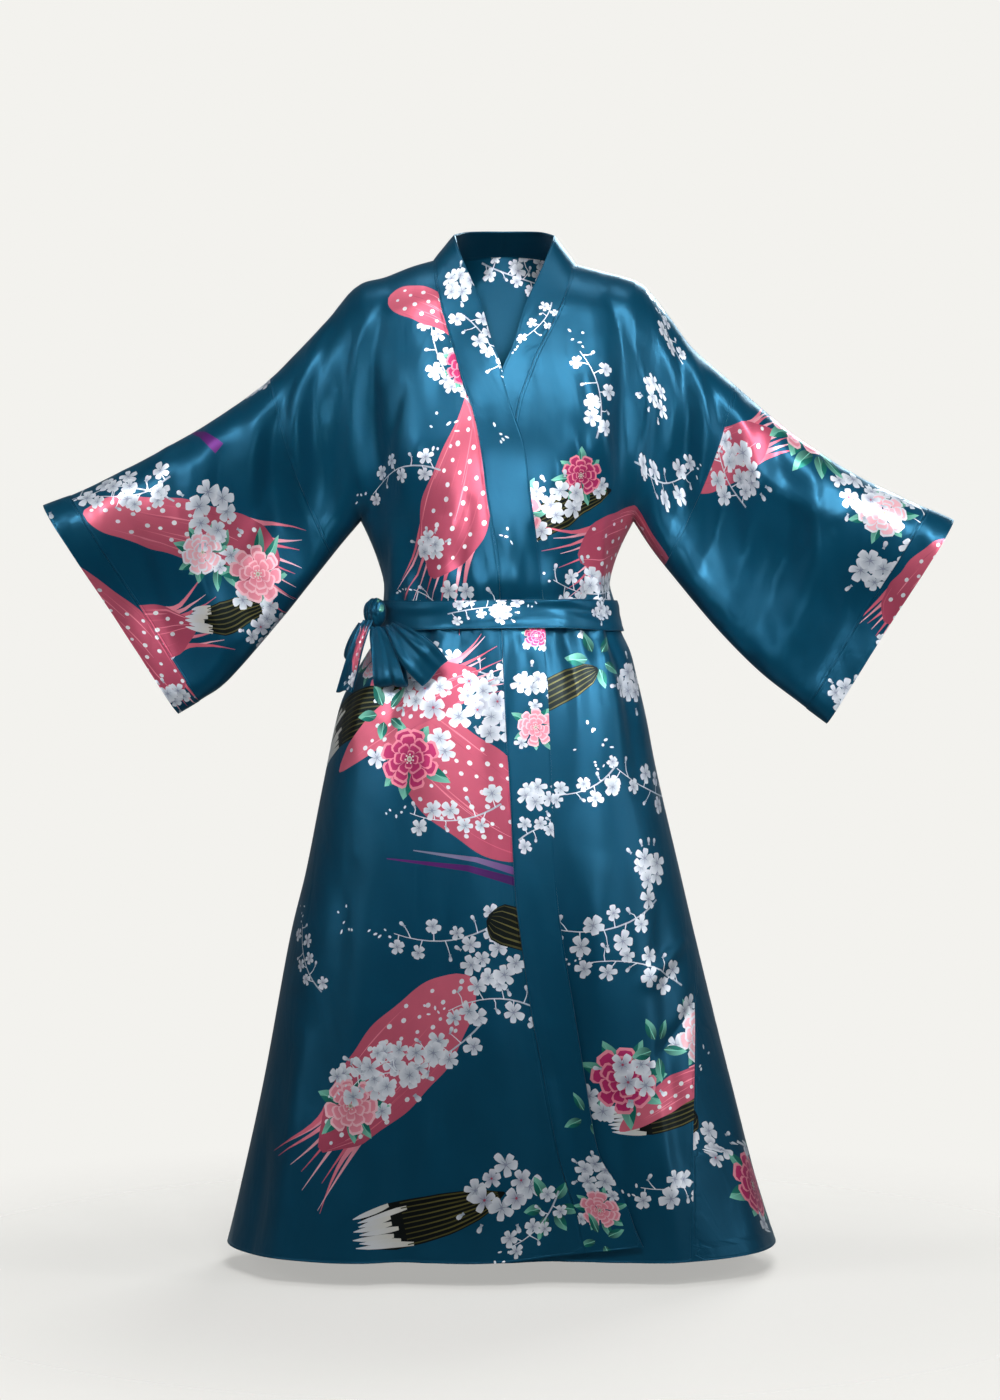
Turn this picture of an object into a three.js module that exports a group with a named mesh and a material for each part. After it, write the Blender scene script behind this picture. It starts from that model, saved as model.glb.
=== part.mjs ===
// Long wrap robe of kimono cut, as worn: hollow body, two wide sleeves, one long neck band,
// a narrow sash knotted at the wearer's right hip. Millimetres, +Z up, the front faces -Y,
// the origin lies between the shoulders at the side-neck points.
import * as THREE from 'three';

// ---------------------------------------------------------------- driving dimensions
const CLOTH = 1.6;            // wall of a single layer of satin as built
const BAND = 2.6;             // neck and cuff bands are double
const SASH = 2.2;             // sash cloth, folded double
const GAP = 0.17;             // each edge stands back this far at a seam
const VIEW = 4000;            // the tables of the front are drawn as seen from this far ahead
const VIEW_X = -4;
const VIEW_Z = -563;
const HEM_Z = -1269;
const ARMPIT_Z = -327.5;
const ARMPIT_X = { L: -186, R: 171 };
const SASH_TOP = -434;
const SASH_FOOT = -474;
const LAP_LIFT = 7;           // how far the upper front stands off the lower one where they lap
const CUFF_WIDTH = 38;

// outlines at y = 0, [x, z]; L is the viewer's left, R the viewer's right
const RIDGE = {
  L: [[-90.4, 11.8], [-120, 3], [-154.6, -10.5], [-181, -17], [-197.8, -28], [-213, -46], [-230.6, -68], [-268, -107], [-310.5, -149], [-370.7, -192], [-424, -224], [-482, -255.5], [-556.8, -292], [-601.5, -309]],
  R: [[94.3, 6.6], [130, -3], [160, -11], [180, -19], [196, -35], [220, -66], [250.2, -106], [310.5, -158], [349.8, -192], [389, -223], [449, -262], [500, -288], [551.5, -312], [589.5, -328]],
};
const UNDER = {
  L: [[-426, -580], [-393, -560], [-360, -535.8], [-297, -464], [-242.4, -396], [-212, -358], [-186, -327.5]],
  R: [[424.5, -593], [389, -566], [336.7, -525.3], [281.7, -470], [221.4, -398], [194, -363], [171, -327.5]],
};
const SIDE = {
  L: [[-186, -327.5], [-176, -348], [-165, -375], [-156.5, -403], [-155, -418], [-156, -434], [-157, -455], [-159, -474], [-176, -500], [-198, -538], [-215, -579], [-236, -679], [-257, -786], [-279, -878], [-312, -1058], [-344, -1204], [-360, -1269]],
  R: [[171, -327.5], [158, -352], [147, -378], [139.5, -405], [140, -418], [145, -434], [149, -455], [154, -474], [166, -500], [174, -532], [187, -588], [201, -660], [229, -780], [252, -878], [295, -1053], [329, -1184], [356, -1269]],
};
// neckline of the back panel, [x, z]
const BACK_NECK = [[-90.4, 11.8], [-57, 22], [-29, 27], [0, 29], [31, 27], [60, 20], [94.3, 6.6]];
// a line up the neck, only to round the back panel below the collar
const NECK_COLUMN = { L: [[-90.4, 11.8], [-66, 40], [-40, 68], [0, 92]], R: [[94.3, 6.6], [66, 40], [40, 68], [0, 92]] };

// half depths of the body, [z, front, back]
const DEPTH = [
  [60, 44, 84], [20, 48, 84], [0, 54, 86], [-60, 72, 93], [-140, 100, 103], [-230, 117, 107], [-320, 111, 100], [-385, 104, 92],
  [-415, 101, 88], [-434, 93, 83], [-474, 94, 84], [-505, 103, 94], [-570, 114, 110], [-700, 122, 119],
  [-900, 136, 131], [-1100, 152, 146], [-1269, 166, 160], [-1340, 170, 165],
];
// neck band drawn from the front, [z, x of its seam, x of its free edge]; `over` is the upper one
const BAND_OVER = [
  [12, -90.4, -63], [-40, -83, -40], [-80, -72, -22], [-120, -60, -5], [-145, -54, 1], [-185, -40, 13], [-232, -30, 29], [-300, -21, 37],
  [-350, -12, 43], [-390, -6, 48], [-430, -4, 51], [-500, -1, 55], [-590, 3, 60], [-700, 9, 65], [-820, 15, 71], [-900, 25, 82],
  [-975, 36, 95], [-1060, 52, 109], [-1165, 73, 127], [-1210, 86, 149], [-1250, 99, 165], [-1276, 104, 173], [-1330, 120, 196],
];
const BAND_UNDER = [
  [6, 94.3, 67], [-40, 79, 36], [-80, 60, 22], [-110, 44, 8], [-126, 38, 0], [-170, 22, -13], [-223, 13, -25], [-300, 6, -38],
  [-380, 3, -46], [-430, 1, -50], [-560, -3, -59], [-730, -10, -67], [-900, -25, -83], [-1040, -45, -102], [-1150, -71, -128],
  [-1230, -96, -155], [-1280, -111, -169], [-1330, -120, -180],
];
// free edge of the band where it stands up round the neck, [x, y, z]; the first four run from the centre back to the side
const STAND = {
  L: [[0, 53, 58], [-25, 48.5, 57.5], [-47, 33, 54.5], [-63, 4, 46.5], [-61, -15, 36], [-55, -32, 16], [-43, -51, -15], [-22, -74, -62]],
  R: [[0, 53, 58], [26, 48.5, 57.5], [49, 33, 54.5], [66, 4, 45.5], [64, -15, 35], [57, -32, 14], [44, -51, -18], [22, -74, -66]],
};
// soft folds of the body and sleeves, [x0, z0, x1, z1, half width, depth, face]; face 1 front, -1 back, 0 both
const FOLDS = [
  [-34, -560, -40, -1290, 62, 9, 1],
  [150, -560, 170, -1290, 66, 9, 1],
  [60, -620, 70, -1290, 48, -8, 1],
  [-165, -620, -205, -1290, 55, 7, 0],
  [-110, -760, -130, -1290, 40, -7, 1],
  [70, -560, 80, -1290, 60, 8, -1],
  [-60, -600, -80, -1290, 55, -8, -1],
  [-208, -60, -150, -345, 26, -8, 1],
  [196, -60, 140, -345, 26, -8, 1],
  [-205, -70, -150, -330, 26, -7, -1],
  [195, -70, 140, -330, 26, -7, -1],
  [-255, -120, -215, -350, 26, 6, 0],
  [250, -130, 205, -350, 26, 6, 0],
  [-330, -190, -290, -440, 30, -6, 0],
  [335, -200, 290, -450, 30, -6, 0],
  [-470, -270, -345, -520, 34, 6, 0],
  [470, -290, 345, -530, 34, 6, 0],
  [-545, -330, -400, -560, 30, -5, 0],
  [540, -350, 395, -570, 30, -5, 0],
];
const UPPER_ROWS = [0, 0.022, 0.075, 0.155, 0.27, 0.4, 0.54, 0.69, 0.83, 0.945, 1];
const LOWER_ROWS = [-350, -375, -400, -418, -434, -454, -474, -500, -540, -600, -680, -780, -880, -980, -1080, -1180, HEM_Z];
const SHOULDER_COLUMNS = [0, 0.3, 0.62, 0.85];   // from the sleeve seam to the armpit line
const FRONT_COLUMNS = 9;
const BACK_COLUMNS = 18;
const SLEEVE_STATIONS = [0, 0.13, 0.28, 0.44, 0.6, 0.76, 0.9, 1];
// the side seam of the lower front comes forward below the knee, [z, x]
const SEAM_FORWARD = [[-700, 212], [-865, 249], [-960, 247], [-1060, 243], [-1160, 240], [-1269, 237]];

// ---------------------------------------------------------------- small helpers
const clamp = (v, a, b) => Math.min(b, Math.max(a, v));
const smooth = (a, b, v) => { const t = clamp((v - a) / (b - a), 0, 1); return t * t * (3 - 2 * t); };
const mix = (a, b, t) => a + (b - a) * t;
const sub = (a, b) => [a[0] - b[0], a[1] - b[1], a[2] - b[2]];
const add = (a, b, s = 1) => [a[0] + b[0] * s, a[1] + b[1] * s, a[2] + b[2] * s];
const len = (a) => Math.hypot(...a);
const unit = (a) => { const l = len(a) || 1; return a.map((v) => v / l); };
const cross = (a, b) => [a[1] * b[2] - a[2] * b[1], a[2] * b[0] - a[0] * b[2], a[0] * b[1] - a[1] * b[0]];
const dot = (a, b) => a[0] * b[0] + a[1] * b[1] + a[2] * b[2];

function hermite(a, b, ma, mb, t) {
  const t2 = t * t, t3 = t2 * t;
  return (2 * t3 - 3 * t2 + 1) * a + (t3 - 2 * t2 + t) * ma + (-2 * t3 + 3 * t2) * b + (t3 - t2) * mb;
}
// a smooth reading of column k of a table whose first column falls or rises
function read(table, key, k) {
  const n = table.length, down = table[n - 1][0] < table[0][0];
  const at = (i) => table[i][0];
  let i = 0;
  while (i < n - 2 && (down ? key < at(i + 1) : key > at(i + 1))) i++;
  const t = clamp((key - at(i)) / (at(i + 1) - at(i)), 0, 1);
  const slope = (j) => {
    const a = Math.max(0, j - 1), b = Math.min(n - 1, j + 1);
    return (table[b][k] - table[a][k]) / (at(b) - at(a));
  };
  const span = at(i + 1) - at(i);
  return hermite(table[i][k], table[i + 1][k], slope(i) * span, slope(i + 1) * span, t);
}
// a spline through [x, z] points, as a dense line
function line(points, steps = 8) {
  const out = [], n = points.length;
  for (let i = 0; i < n - 1; i++) {
    const p0 = points[Math.max(0, i - 1)], p1 = points[i], p2 = points[i + 1], p3 = points[Math.min(n - 1, i + 2)];
    for (let s = 0; s < steps; s++) {
      const t = s / steps;
      out.push([0, 1].map((k) => hermite(p1[k], p2[k], (p2[k] - p0[k]) / 2, (p3[k] - p1[k]) / 2, t)));
    }
  }
  out.push(points[n - 1].slice());
  return out;
}
function lengthen(points, start, end) {
  const out = points.map((p) => p.slice()), n = out.length;
  const step = (a, b, d) => { const l = Math.hypot(a[0] - b[0], a[1] - b[1]); return [a[0] + (a[0] - b[0]) / l * d, a[1] + (a[1] - b[1]) / l * d]; };
  if (start) out.unshift(step(out[0], out[1], start));
  if (end) out.push(step(out[n - 1 + (start ? 1 : 0)], out[n - 2 + (start ? 1 : 0)], end));
  return out;
}
// distance from p to a line and the direction away from it
function away(p, pts) {
  let best = 1e9, dir = [0, 0];
  for (let i = 0; i < pts.length - 1; i++) {
    const a = pts[i], b = pts[i + 1];
    const dx = b[0] - a[0], dz = b[1] - a[1];
    const t = clamp(((p[0] - a[0]) * dx + (p[1] - a[1]) * dz) / (dx * dx + dz * dz), 0, 1);
    const q = [a[0] + dx * t, a[1] + dz * t];
    const d = Math.hypot(p[0] - q[0], p[1] - q[1]);
    if (d < best) { best = d; dir = d > 1e-3 ? [(p[0] - q[0]) / d, (p[1] - q[1]) / d] : null; if (!dir) dir = [-dz, dx, 1]; }
  }
  return [best, dir];
}
function along(pts, share) {
  const l = [0];
  for (let i = 1; i < pts.length; i++) l.push(l[i - 1] + Math.hypot(pts[i][0] - pts[i - 1][0], pts[i][1] - pts[i - 1][1]));
  const s = clamp(share, 0, 1) * l[l.length - 1];
  let i = 0;
  while (i < pts.length - 2 && l[i + 1] < s) i++;
  const t = (s - l[i]) / (l[i + 1] - l[i]);
  return [mix(pts[i][0], pts[i + 1][0], t), mix(pts[i][1], pts[i + 1][1], t)];
}
function xAt(pts, z) {
  for (let i = 0; i < pts.length - 1; i++) {
    const [a, b] = [pts[i], pts[i + 1]];
    if ((a[1] - z) * (b[1] - z) <= 0 && a[1] !== b[1]) return mix(a[0], b[0], (z - a[1]) / (b[1] - a[1]));
  }
  return pts[pts.length - 1][0];
}
function zAt(pts, x) {
  for (let i = 0; i < pts.length - 1; i++) {
    const [a, b] = [pts[i], pts[i + 1]];
    if ((a[0] - x) * (b[0] - x) <= 0 && a[0] !== b[0]) return mix(a[1], b[1], (x - a[0]) / (b[0] - a[0]));
  }
  return pts[pts.length - 1][1];
}

// ---------------------------------------------------------------- the worn form
const ridge = { L: line(RIDGE.L), R: line(RIDGE.R) };
const under = { L: line(UNDER.L), R: line(UNDER.R) };
const side = { L: line(SIDE.L), R: line(SIDE.R) };
const ridgeLong = { L: lengthen(ridge.L, 0, 80), R: lengthen(ridge.R, 0, 80) };
const backTop = { L: [...line(NECK_COLUMN.L, 6).reverse(), ...ridgeLong.L.slice(1)], R: [...line(NECK_COLUMN.R, 6).reverse(), ...ridgeLong.R.slice(1)] };
const lowerEdge = {
  L: [...lengthen(under.L, 80, 0), ...lengthen(side.L, 0, 80).slice(1)],
  R: [...lengthen(under.R, 80, 0), ...lengthen(side.R, 0, 80).slice(1)],
};
const round = (e) => (e >= 1 ? 1 : Math.sqrt(Math.max(0, 1 - (1 - e) * (1 - e))));

// height of the cloth over the plane y = 0 and its outward normal; face 1 front, -1 back
function depthParts(x, z, face) {
  const s = x < 0 ? 'L' : 'R', ax = Math.abs(x);
  const [dA, gA] = away([x, z], face > 0 ? ridgeLong[s] : backTop[s]);
  const [dB, gB] = away([x, z], lowerEdge[s]);
  const sleeve = smooth(-74, 66, ax - 174 - 0.5 * Math.max(0, ARMPIT_Z - z));
  const cuffward = smooth(200, 600, ax);
  const arm = mix(54, 40, cuffward), thin = mix(25, 15, cuffward);
  const hs = mix(arm, thin, smooth(55, 185, dA));
  const hb = read(DEPTH, z, face > 0 ? 1 : 2);
  const h = mix(hb, hs, sleeve);
  const ra = mix(64, 46, smooth(100, 260, ax));
  const rb = mix(z < ARMPIT_Z ? mix(128, 150, smooth(-434, -1269, z)) : 128, 30, sleeve);
  return { h, ea: dA / ra, eb: dB / rb, ra, rb, gA, gB };
}
function foldHeight(x, z, face) {
  let sum = 0;
  for (const [x0, z0, x1, z1, w, d, f] of FOLDS) {
    if (f && f !== face) continue;
    const dx = x1 - x0, dz = z1 - z0, l2 = dx * dx + dz * dz;
    const t = ((x - x0) * dx + (z - z0) * dz) / l2;
    if (t <= 0 || t >= 1.3) continue;
    const off = ((x - x0) * dz - (z - z0) * dx) / Math.sqrt(l2);
    const fade = z1 < HEM_Z ? Math.sin(Math.min(t, 1) * Math.PI / 2) : Math.sin(Math.PI * clamp(t, 0, 1));
    sum += d * fade * Math.exp(-(off / w) * (off / w));
  }
  return sum;
}
function form(x, z, face) {
  const c = depthParts(x, z, face);
  const qa = round(c.ea), qb = round(c.eb);
  return (c.h + foldHeight(x, z, face)) * qa * qb;
}
function normalAt(x, z, face) {
  const c = depthParts(x, z, face), d = 2;
  const H = (a, b) => depthParts(a, b, face).h + foldHeight(a, b, face);
  const h = H(x, z);
  const hx = (H(x + d, z) - H(x - d, z)) / (2 * d), hz = (H(x, z + d) - H(x, z - d)) / (2 * d);
  const qa = round(c.ea), qb = round(c.eb), s = qa * qb;
  const fix = (g) => {
    if (g.length === 2) return g;
    const l = Math.hypot(g[0], g[1]), v = [g[0] / l, g[1] / l];
    const f1 = form(x + v[0] * 0.5, z + v[1] * 0.5, face), f2 = form(x - v[0] * 0.5, z - v[1] * 0.5, face);
    return insideness(x + v[0], z + v[1]) >= insideness(x - v[0], z - v[1]) && f1 + f2 >= 0 ? v : [-v[0], -v[1]];
  };
  const ga = fix(c.gA), gb = fix(c.gB);
  const ka = c.ea < 1 ? h * (1 - c.ea) * qb * qb / c.ra : 0;
  const kb = c.eb < 1 ? h * (1 - c.eb) * qa * qa / c.rb : 0;
  const nx = -(s * s * hx + ka * ga[0] + kb * gb[0]);
  const nz = -(s * s * hz + ka * ga[1] + kb * gb[1]);
  return unit([nx, -face * s, nz]);
}
// 1 inside the outline of the robe, else 0
const outline = [...ridge.L.slice().reverse(), ...[[-40, 60], [40, 60]], ...ridge.R, ...under.R, ...side.R.slice(1), ...side.L.slice().reverse(), ...under.L.slice().reverse().slice(1)];
function insideness(x, z) {
  let odd = false;
  for (let i = 0, j = outline.length - 1; i < outline.length; j = i++) {
    const [xi, zi] = outline[i], [xj, zj] = outline[j];
    if ((zi > z) !== (zj > z) && x < ((xj - xi) * (z - zi)) / (zj - zi) + xi) odd = !odd;
  }
  return odd ? 1 : 0;
}
// a point of the cloth: place and normal, lifted off the form by `lift`
function place(x, z, face, lift = 0) {
  const n = normalAt(x, z, face), y = -face * form(x, z, face);
  return { p: add([x, y, z], n, lift), n };
}
// x on the front at true height z for a line drawn from the front
function drawn(table, k, z) {
  let x = 0;
  for (let i = 0; i < 4; i++) {
    const y = -form(x, z, 1), s = (VIEW + y) / VIEW;
    x = VIEW_X + (read(table, VIEW_Z + (z - VIEW_Z) / s, k) - VIEW_X) * s;
  }
  return x;
}
// lift of the upper front over the lower one
function lapLift(x, z) {
  const edge = z > -126 ? 0 : drawn(BAND_UNDER, 2, z);
  return LAP_LIFT * smooth(-58, -112, z) * smooth(edge - 78, edge - 16, x);
}
// the corner of the upper front swings up a little at the hem
const hemRise = (x, z) => 26 * Math.pow(smooth(-40, 260, x), 1) * smooth(-1000, HEM_Z, z);

// ---------------------------------------------------------------- solids from grids
// cells: quads of keys into points {p, n}; a closed body of the given wall
function solid(points, quads, wall) {
  const keys = [...points.keys()], index = new Map(keys.map((k, i) => [k, i])), n = keys.length;
  const pos = [];
  for (const s of [0.5, -0.5]) for (const k of keys) { const { p, n: m, w } = points.get(k); pos.push(...add(p, m, s * (w ?? wall))); }
  const tri = [], edges = new Map();
  const face = (a, b, c) => tri.push(a, b, c);
  for (const q of quads) {
    const [a, b, c, d] = q.map((k) => index.get(k));
    face(a, b, c); face(a, c, d);
    face(n + a, n + c, n + b); face(n + a, n + d, n + c);
    for (const [u, v] of [[a, b], [b, c], [c, d], [d, a]]) edges.has(`${v},${u}`) ? edges.delete(`${v},${u}`) : edges.set(`${u},${v}`, [u, v]);
  }
  for (const [u, v] of edges.values()) { face(u, n + u, n + v); face(u, n + v, v); }
  let vol = 0;
  for (let i = 0; i < tri.length; i += 3) {
    const [a, b, c] = [0, 1, 2].map((k) => pos.slice(tri[i + k] * 3, tri[i + k] * 3 + 3));
    vol += dot(a, cross(b, c));
  }
  if (vol < 0) for (let i = 0; i < tri.length; i += 3) [tri[i], tri[i + 1]] = [tri[i + 1], tri[i]];
  const g = new THREE.BufferGeometry();
  g.setAttribute('position', new THREE.Float32BufferAttribute(pos, 3));
  g.setIndex(tri);
  g.computeVertexNormals();
  return g;
}
// rows of {p, n}; `closed` joins the last column to the first
function strip(rows, wall, closed = false) {
  const pts = new Map(), quads = [], m = rows[0].length;
  rows.forEach((r, i) => r.forEach((v, j) => pts.set(`${i},${j}`, v)));
  for (let i = 0; i < rows.length - 1; i++) for (let j = 0; j < (closed ? m : m - 1); j++) {
    const k = (j + 1) % m;
    quads.push([`${i},${j}`, `${i},${k}`, `${i + 1},${k}`, `${i + 1},${j}`]);
  }
  return solid(pts, quads, wall);
}
const stepBack = (v, to, d = GAP) => ({ ...v, p: add(v.p, unit(sub(to.p, v.p)), d) });

// ---------------------------------------------------------------- seams
// the sleeve seam, from the ridge (t = 0) to the underside (t = 1)
const SEAM_TOP = { L: [-302.6, -143.6], R: [302.6, -152] };
const SEAM_FOOT = { L: [-224, -373], R: [212, -386] };
function share(pts, p) {
  let best = 1e9, at = 0, total = 0, run = 0;
  for (let i = 0; i < pts.length - 1; i++) total += Math.hypot(pts[i + 1][0] - pts[i][0], pts[i + 1][1] - pts[i][1]);
  for (let i = 0; i < pts.length - 1; i++) {
    const l = Math.hypot(pts[i + 1][0] - pts[i][0], pts[i + 1][1] - pts[i][1]);
    for (let s = 0; s < 10; s++) {
      const q = [mix(pts[i][0], pts[i + 1][0], s / 10), mix(pts[i][1], pts[i + 1][1], s / 10)];
      const d = Math.hypot(q[0] - p[0], q[1] - p[1]);
      if (d < best) { best = d; at = (run + l * s / 10) / total; }
    }
    run += l;
  }
  return at;
}
const seamShare = {
  L: { top: share(ridge.L, SEAM_TOP.L), foot: share(under.L, SEAM_FOOT.L) },
  R: { top: share(ridge.R, SEAM_TOP.R), foot: share(under.R, SEAM_FOOT.R) },
};
// ring line k = 0 at the sleeve seam, 1 at the cuff edge; t from ridge to underside
function ring(s, k, t) {
  const a = along(ridge[s], mix(seamShare[s].top, 1, k)), b = along(under[s], mix(seamShare[s].foot, 0, k));
  const bulge = 9 * Math.sin(Math.PI * t) * (1 - smooth(0, 0.5, k)) * (s === 'L' ? -1 : 1);
  return [mix(a[0], b[0], t) + bulge, mix(a[1], b[1], t)];
}
const cuffShare = (s) => {
  const a = along(ridge[s], 1), b = along(ridge[s], seamShare[s].top);
  return 1 - CUFF_WIDTH / Math.hypot(a[0] - b[0], a[1] - b[1]);
};

// ---------------------------------------------------------------- panels
// shoulder block between the sleeve seam and the armpit line, one face
function shoulderPoint(s, u, f) {
  const top0 = along(ridge[s], seamShare[s].top), foot0 = along(under[s], seamShare[s].foot);
  const xa = ARMPIT_X[s];
  const topA = [xa, zAt(ridge[s], xa)], shareA = share(ridge[s], topA);
  const top = along(ridge[s], mix(seamShare[s].top, shareA, u));
  const foot = along(under[s], mix(seamShare[s].foot, 1, u));
  const bulge = 9 * Math.sin(Math.PI * f) * (1 - u) * (s === 'L' ? -1 : 1);
  return u === 0 ? [mix(top0[0], foot0[0], f) + bulge, mix(top0[1], foot0[1], f)] : [mix(top[0], foot[0], f) + bulge, mix(top[1], foot[1], f)];
}
const rowHeights = (zTop) => [...UPPER_ROWS.map((f) => mix(zTop, ARMPIT_Z, f)), ...LOWER_ROWS];
const upperCount = UPPER_ROWS.length;
const outerAt = (s, i) => {
  const xa = ARMPIT_X[s];
  if (i < upperCount) return [xa, mix(zAt(ridge[s], xa), ARMPIT_Z, UPPER_ROWS[i])];
  const z = LOWER_ROWS[i - upperCount];
  return [xAt(side[s], z), z];
};
const neckZ = { L: RIDGE.L[0][1], R: RIDGE.R[0][1] };
const ridgeTop = (s, x) => (Math.abs(x) <= Math.abs(RIDGE[s][0][0]) ? neckZ[s] : zAt(ridge[s], x));

function frontPanel(s) {
  const table = s === 'L' ? BAND_OVER : BAND_UNDER, over = s === 'L';
  const zs = rowHeights(neckZ[s]), pts = new Map(), rows = zs.length;
  const colsA = SHOULDER_COLUMNS.length;
  const lift = (x, z) => (over ? lapLift(x, z) : 0);
  for (let i = 0; i < rows; i++) {
    if (i < upperCount) SHOULDER_COLUMNS.forEach((u, j) => {
      const [x, z] = shoulderPoint(s, u, UPPER_ROWS[i]);
      pts.set(`${i},${j}`, place(x, z, 1));
    });
    let outer = outerAt(s, i);
    if (!over && outer[1] < -865) outer = [Math.min(outer[0], read(SEAM_FORWARD, outer[1], 1)), outer[1]];
    let inner = i === 0 ? RIDGE[s][0].slice() : [drawn(table, 1, zs[i]), zs[i]];
    for (let j = 0; j <= FRONT_COLUMNS; j++) {
      const c = 1 - Math.cos(Math.PI / 2 * j / FRONT_COLUMNS);
      let x = mix(outer[0], inner[0], mix(c, j / FRONT_COLUMNS, smooth(-900, -1200, outer[1]) * 0.5)), z = mix(outer[1], inner[1], c);
      if (i === 0) z = ridgeTop(s, x);
      if (i > 0 && i < upperCount) {
        const top = ridgeTop(s, x), straight = mix(zAt(ridge[s], outer[0]), neckZ[s], c);
        z += (top - straight) * (1 - UPPER_ROWS[i]) ** 2;
      }
      const rise = over ? hemRise(x, z) : 0;
      const v = place(x, z, 1, lift(x, z));
      v.p[2] += rise;
      pts.set(`${i},${colsA + j}`, v);
    }
  }
  return finishPanel(pts, rows, colsA, FRONT_COLUMNS, false);
}
function backPanel() {
  const zs = rowHeights(0), pts = new Map(), rows = zs.length, a = SHOULDER_COLUMNS.length, m = BACK_COLUMNS;
  const neck = line(BACK_NECK, 10);
  const topZ = (x) => (x <= BACK_NECK[0][0] ? zAt(ridge.L, x) : x >= BACK_NECK[BACK_NECK.length - 1][0] ? zAt(ridge.R, x) : zAt(neck, x));
  for (let i = 0; i < rows; i++) {
    if (i < upperCount) {
      SHOULDER_COLUMNS.forEach((u, j) => {
        const l = shoulderPoint('L', u, UPPER_ROWS[i]), r = shoulderPoint('R', u, UPPER_ROWS[i]);
        pts.set(`${i},${j}`, place(...l, -1));
        pts.set(`${i},${a + m + a - j}`, place(...r, -1));
      });
    }
    const L = outerAt('L', i), R = outerAt('R', i);
    const xc = (L[0] + R[0]) / 2, hw = (R[0] - L[0]) / 2;
    let reach = 0;
    if (L[1] < -860) reach = Math.PI / 2 - Math.asin(clamp((read(SEAM_FORWARD, L[1], 1) - xc) / hw, 0, 1));
    for (let j = 0; j <= m; j++) {
      const th = -Math.PI / 2 + (Math.PI + reach) * j / m;
      let x = xc + hw * Math.sin(th), z = L[1];
      if (i < upperCount) {
        if (j === backNeckFrom && i < 4) x = mix(BACK_NECK[0][0], x, [0, 0.25, 0.6, 0.9][i]);
        if (j === m - backNeckFrom && i < 4) x = mix(BACK_NECK[BACK_NECK.length - 1][0], x, [0, 0.25, 0.6, 0.9][i]);
        if (j > 0 && j < m) z = mix(topZ(x), ARMPIT_Z, UPPER_ROWS[i]);
        else z = (j ? R : L)[1];
      }
      pts.set(`${i},${a + j}`, place(x, z, th > Math.PI / 2 + 1e-6 ? 1 : -1));
    }
  }
  return finishPanel(pts, rows, a, m, true);
}
// on the back the columns 6 and m - 6 meet the side-neck points
const backNeckFrom = 6;

// quads, with every outer edge stepped back from its seam line
function finishPanel(pts, rows, a, m, both) {
  const has = (i, j) => pts.has(`${i},${j}`), quads = [], last = a + m + (both ? a : 0);
  for (let i = 0; i < rows - 1; i++) for (let j = 0; j < last; j++) {
    const q = [`${i},${j}`, `${i},${j + 1}`, `${i + 1},${j + 1}`, `${i + 1},${j}`];
    if (q.every((k) => pts.has(k))) quads.push(q);
  }
  const moved = new Map();
  const step = (i, j, i2, j2) => {
    const key = `${i},${j}`, v = moved.get(key) ?? pts.get(key);
    moved.set(key, stepBack(v, pts.get(`${i2},${j2}`)));
  };
  for (let i = 0; i < rows; i++) {
    const cols = [];
    for (let j = 0; j <= last; j++) if (has(i, j)) cols.push(j);
    const lo = cols[0], hi = cols[cols.length - 1];
    if (i <= upperCount - 1) { step(i, lo, i, lo + 1); step(i, hi, i, hi - 1); }
    else { step(i, lo, i, lo + 1); step(i, hi, i, hi - 1); }
  }
  for (let j = 0; j <= last; j++) if (has(0, j)) step(0, j, 1, j);
  for (let j = 0; j <= last; j++) if (has(upperCount - 1, j) && (j <= a || (both && j >= a + m))) step(upperCount - 1, j, upperCount - 2, j);
  for (const [k, v] of moved) pts.set(k, v);
  return solid(pts, quads, CLOTH);
}

// ---------------------------------------------------------------- sleeves and cuffs
function tube(s, from, to, stations, wall, stepStart, stepEnd) {
  const rows = stations.map((u) => {
    const k = mix(from, to, u), out = [];
    UPPER_ROWS.forEach((t) => out.push(place(...ring(s, k, t), 1)));
    UPPER_ROWS.slice(1, -1).reverse().forEach((t) => out.push(place(...ring(s, k, t), -1)));
    return out;
  });
  const n = rows.length;
  if (stepStart) rows[0] = rows[0].map((v, j) => stepBack(v, rows[1][j], GAP));
  if (stepEnd) rows[n - 1] = rows[n - 1].map((v, j) => stepBack(v, rows[n - 2][j], GAP));
  return strip(rows, wall, true);
}

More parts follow.
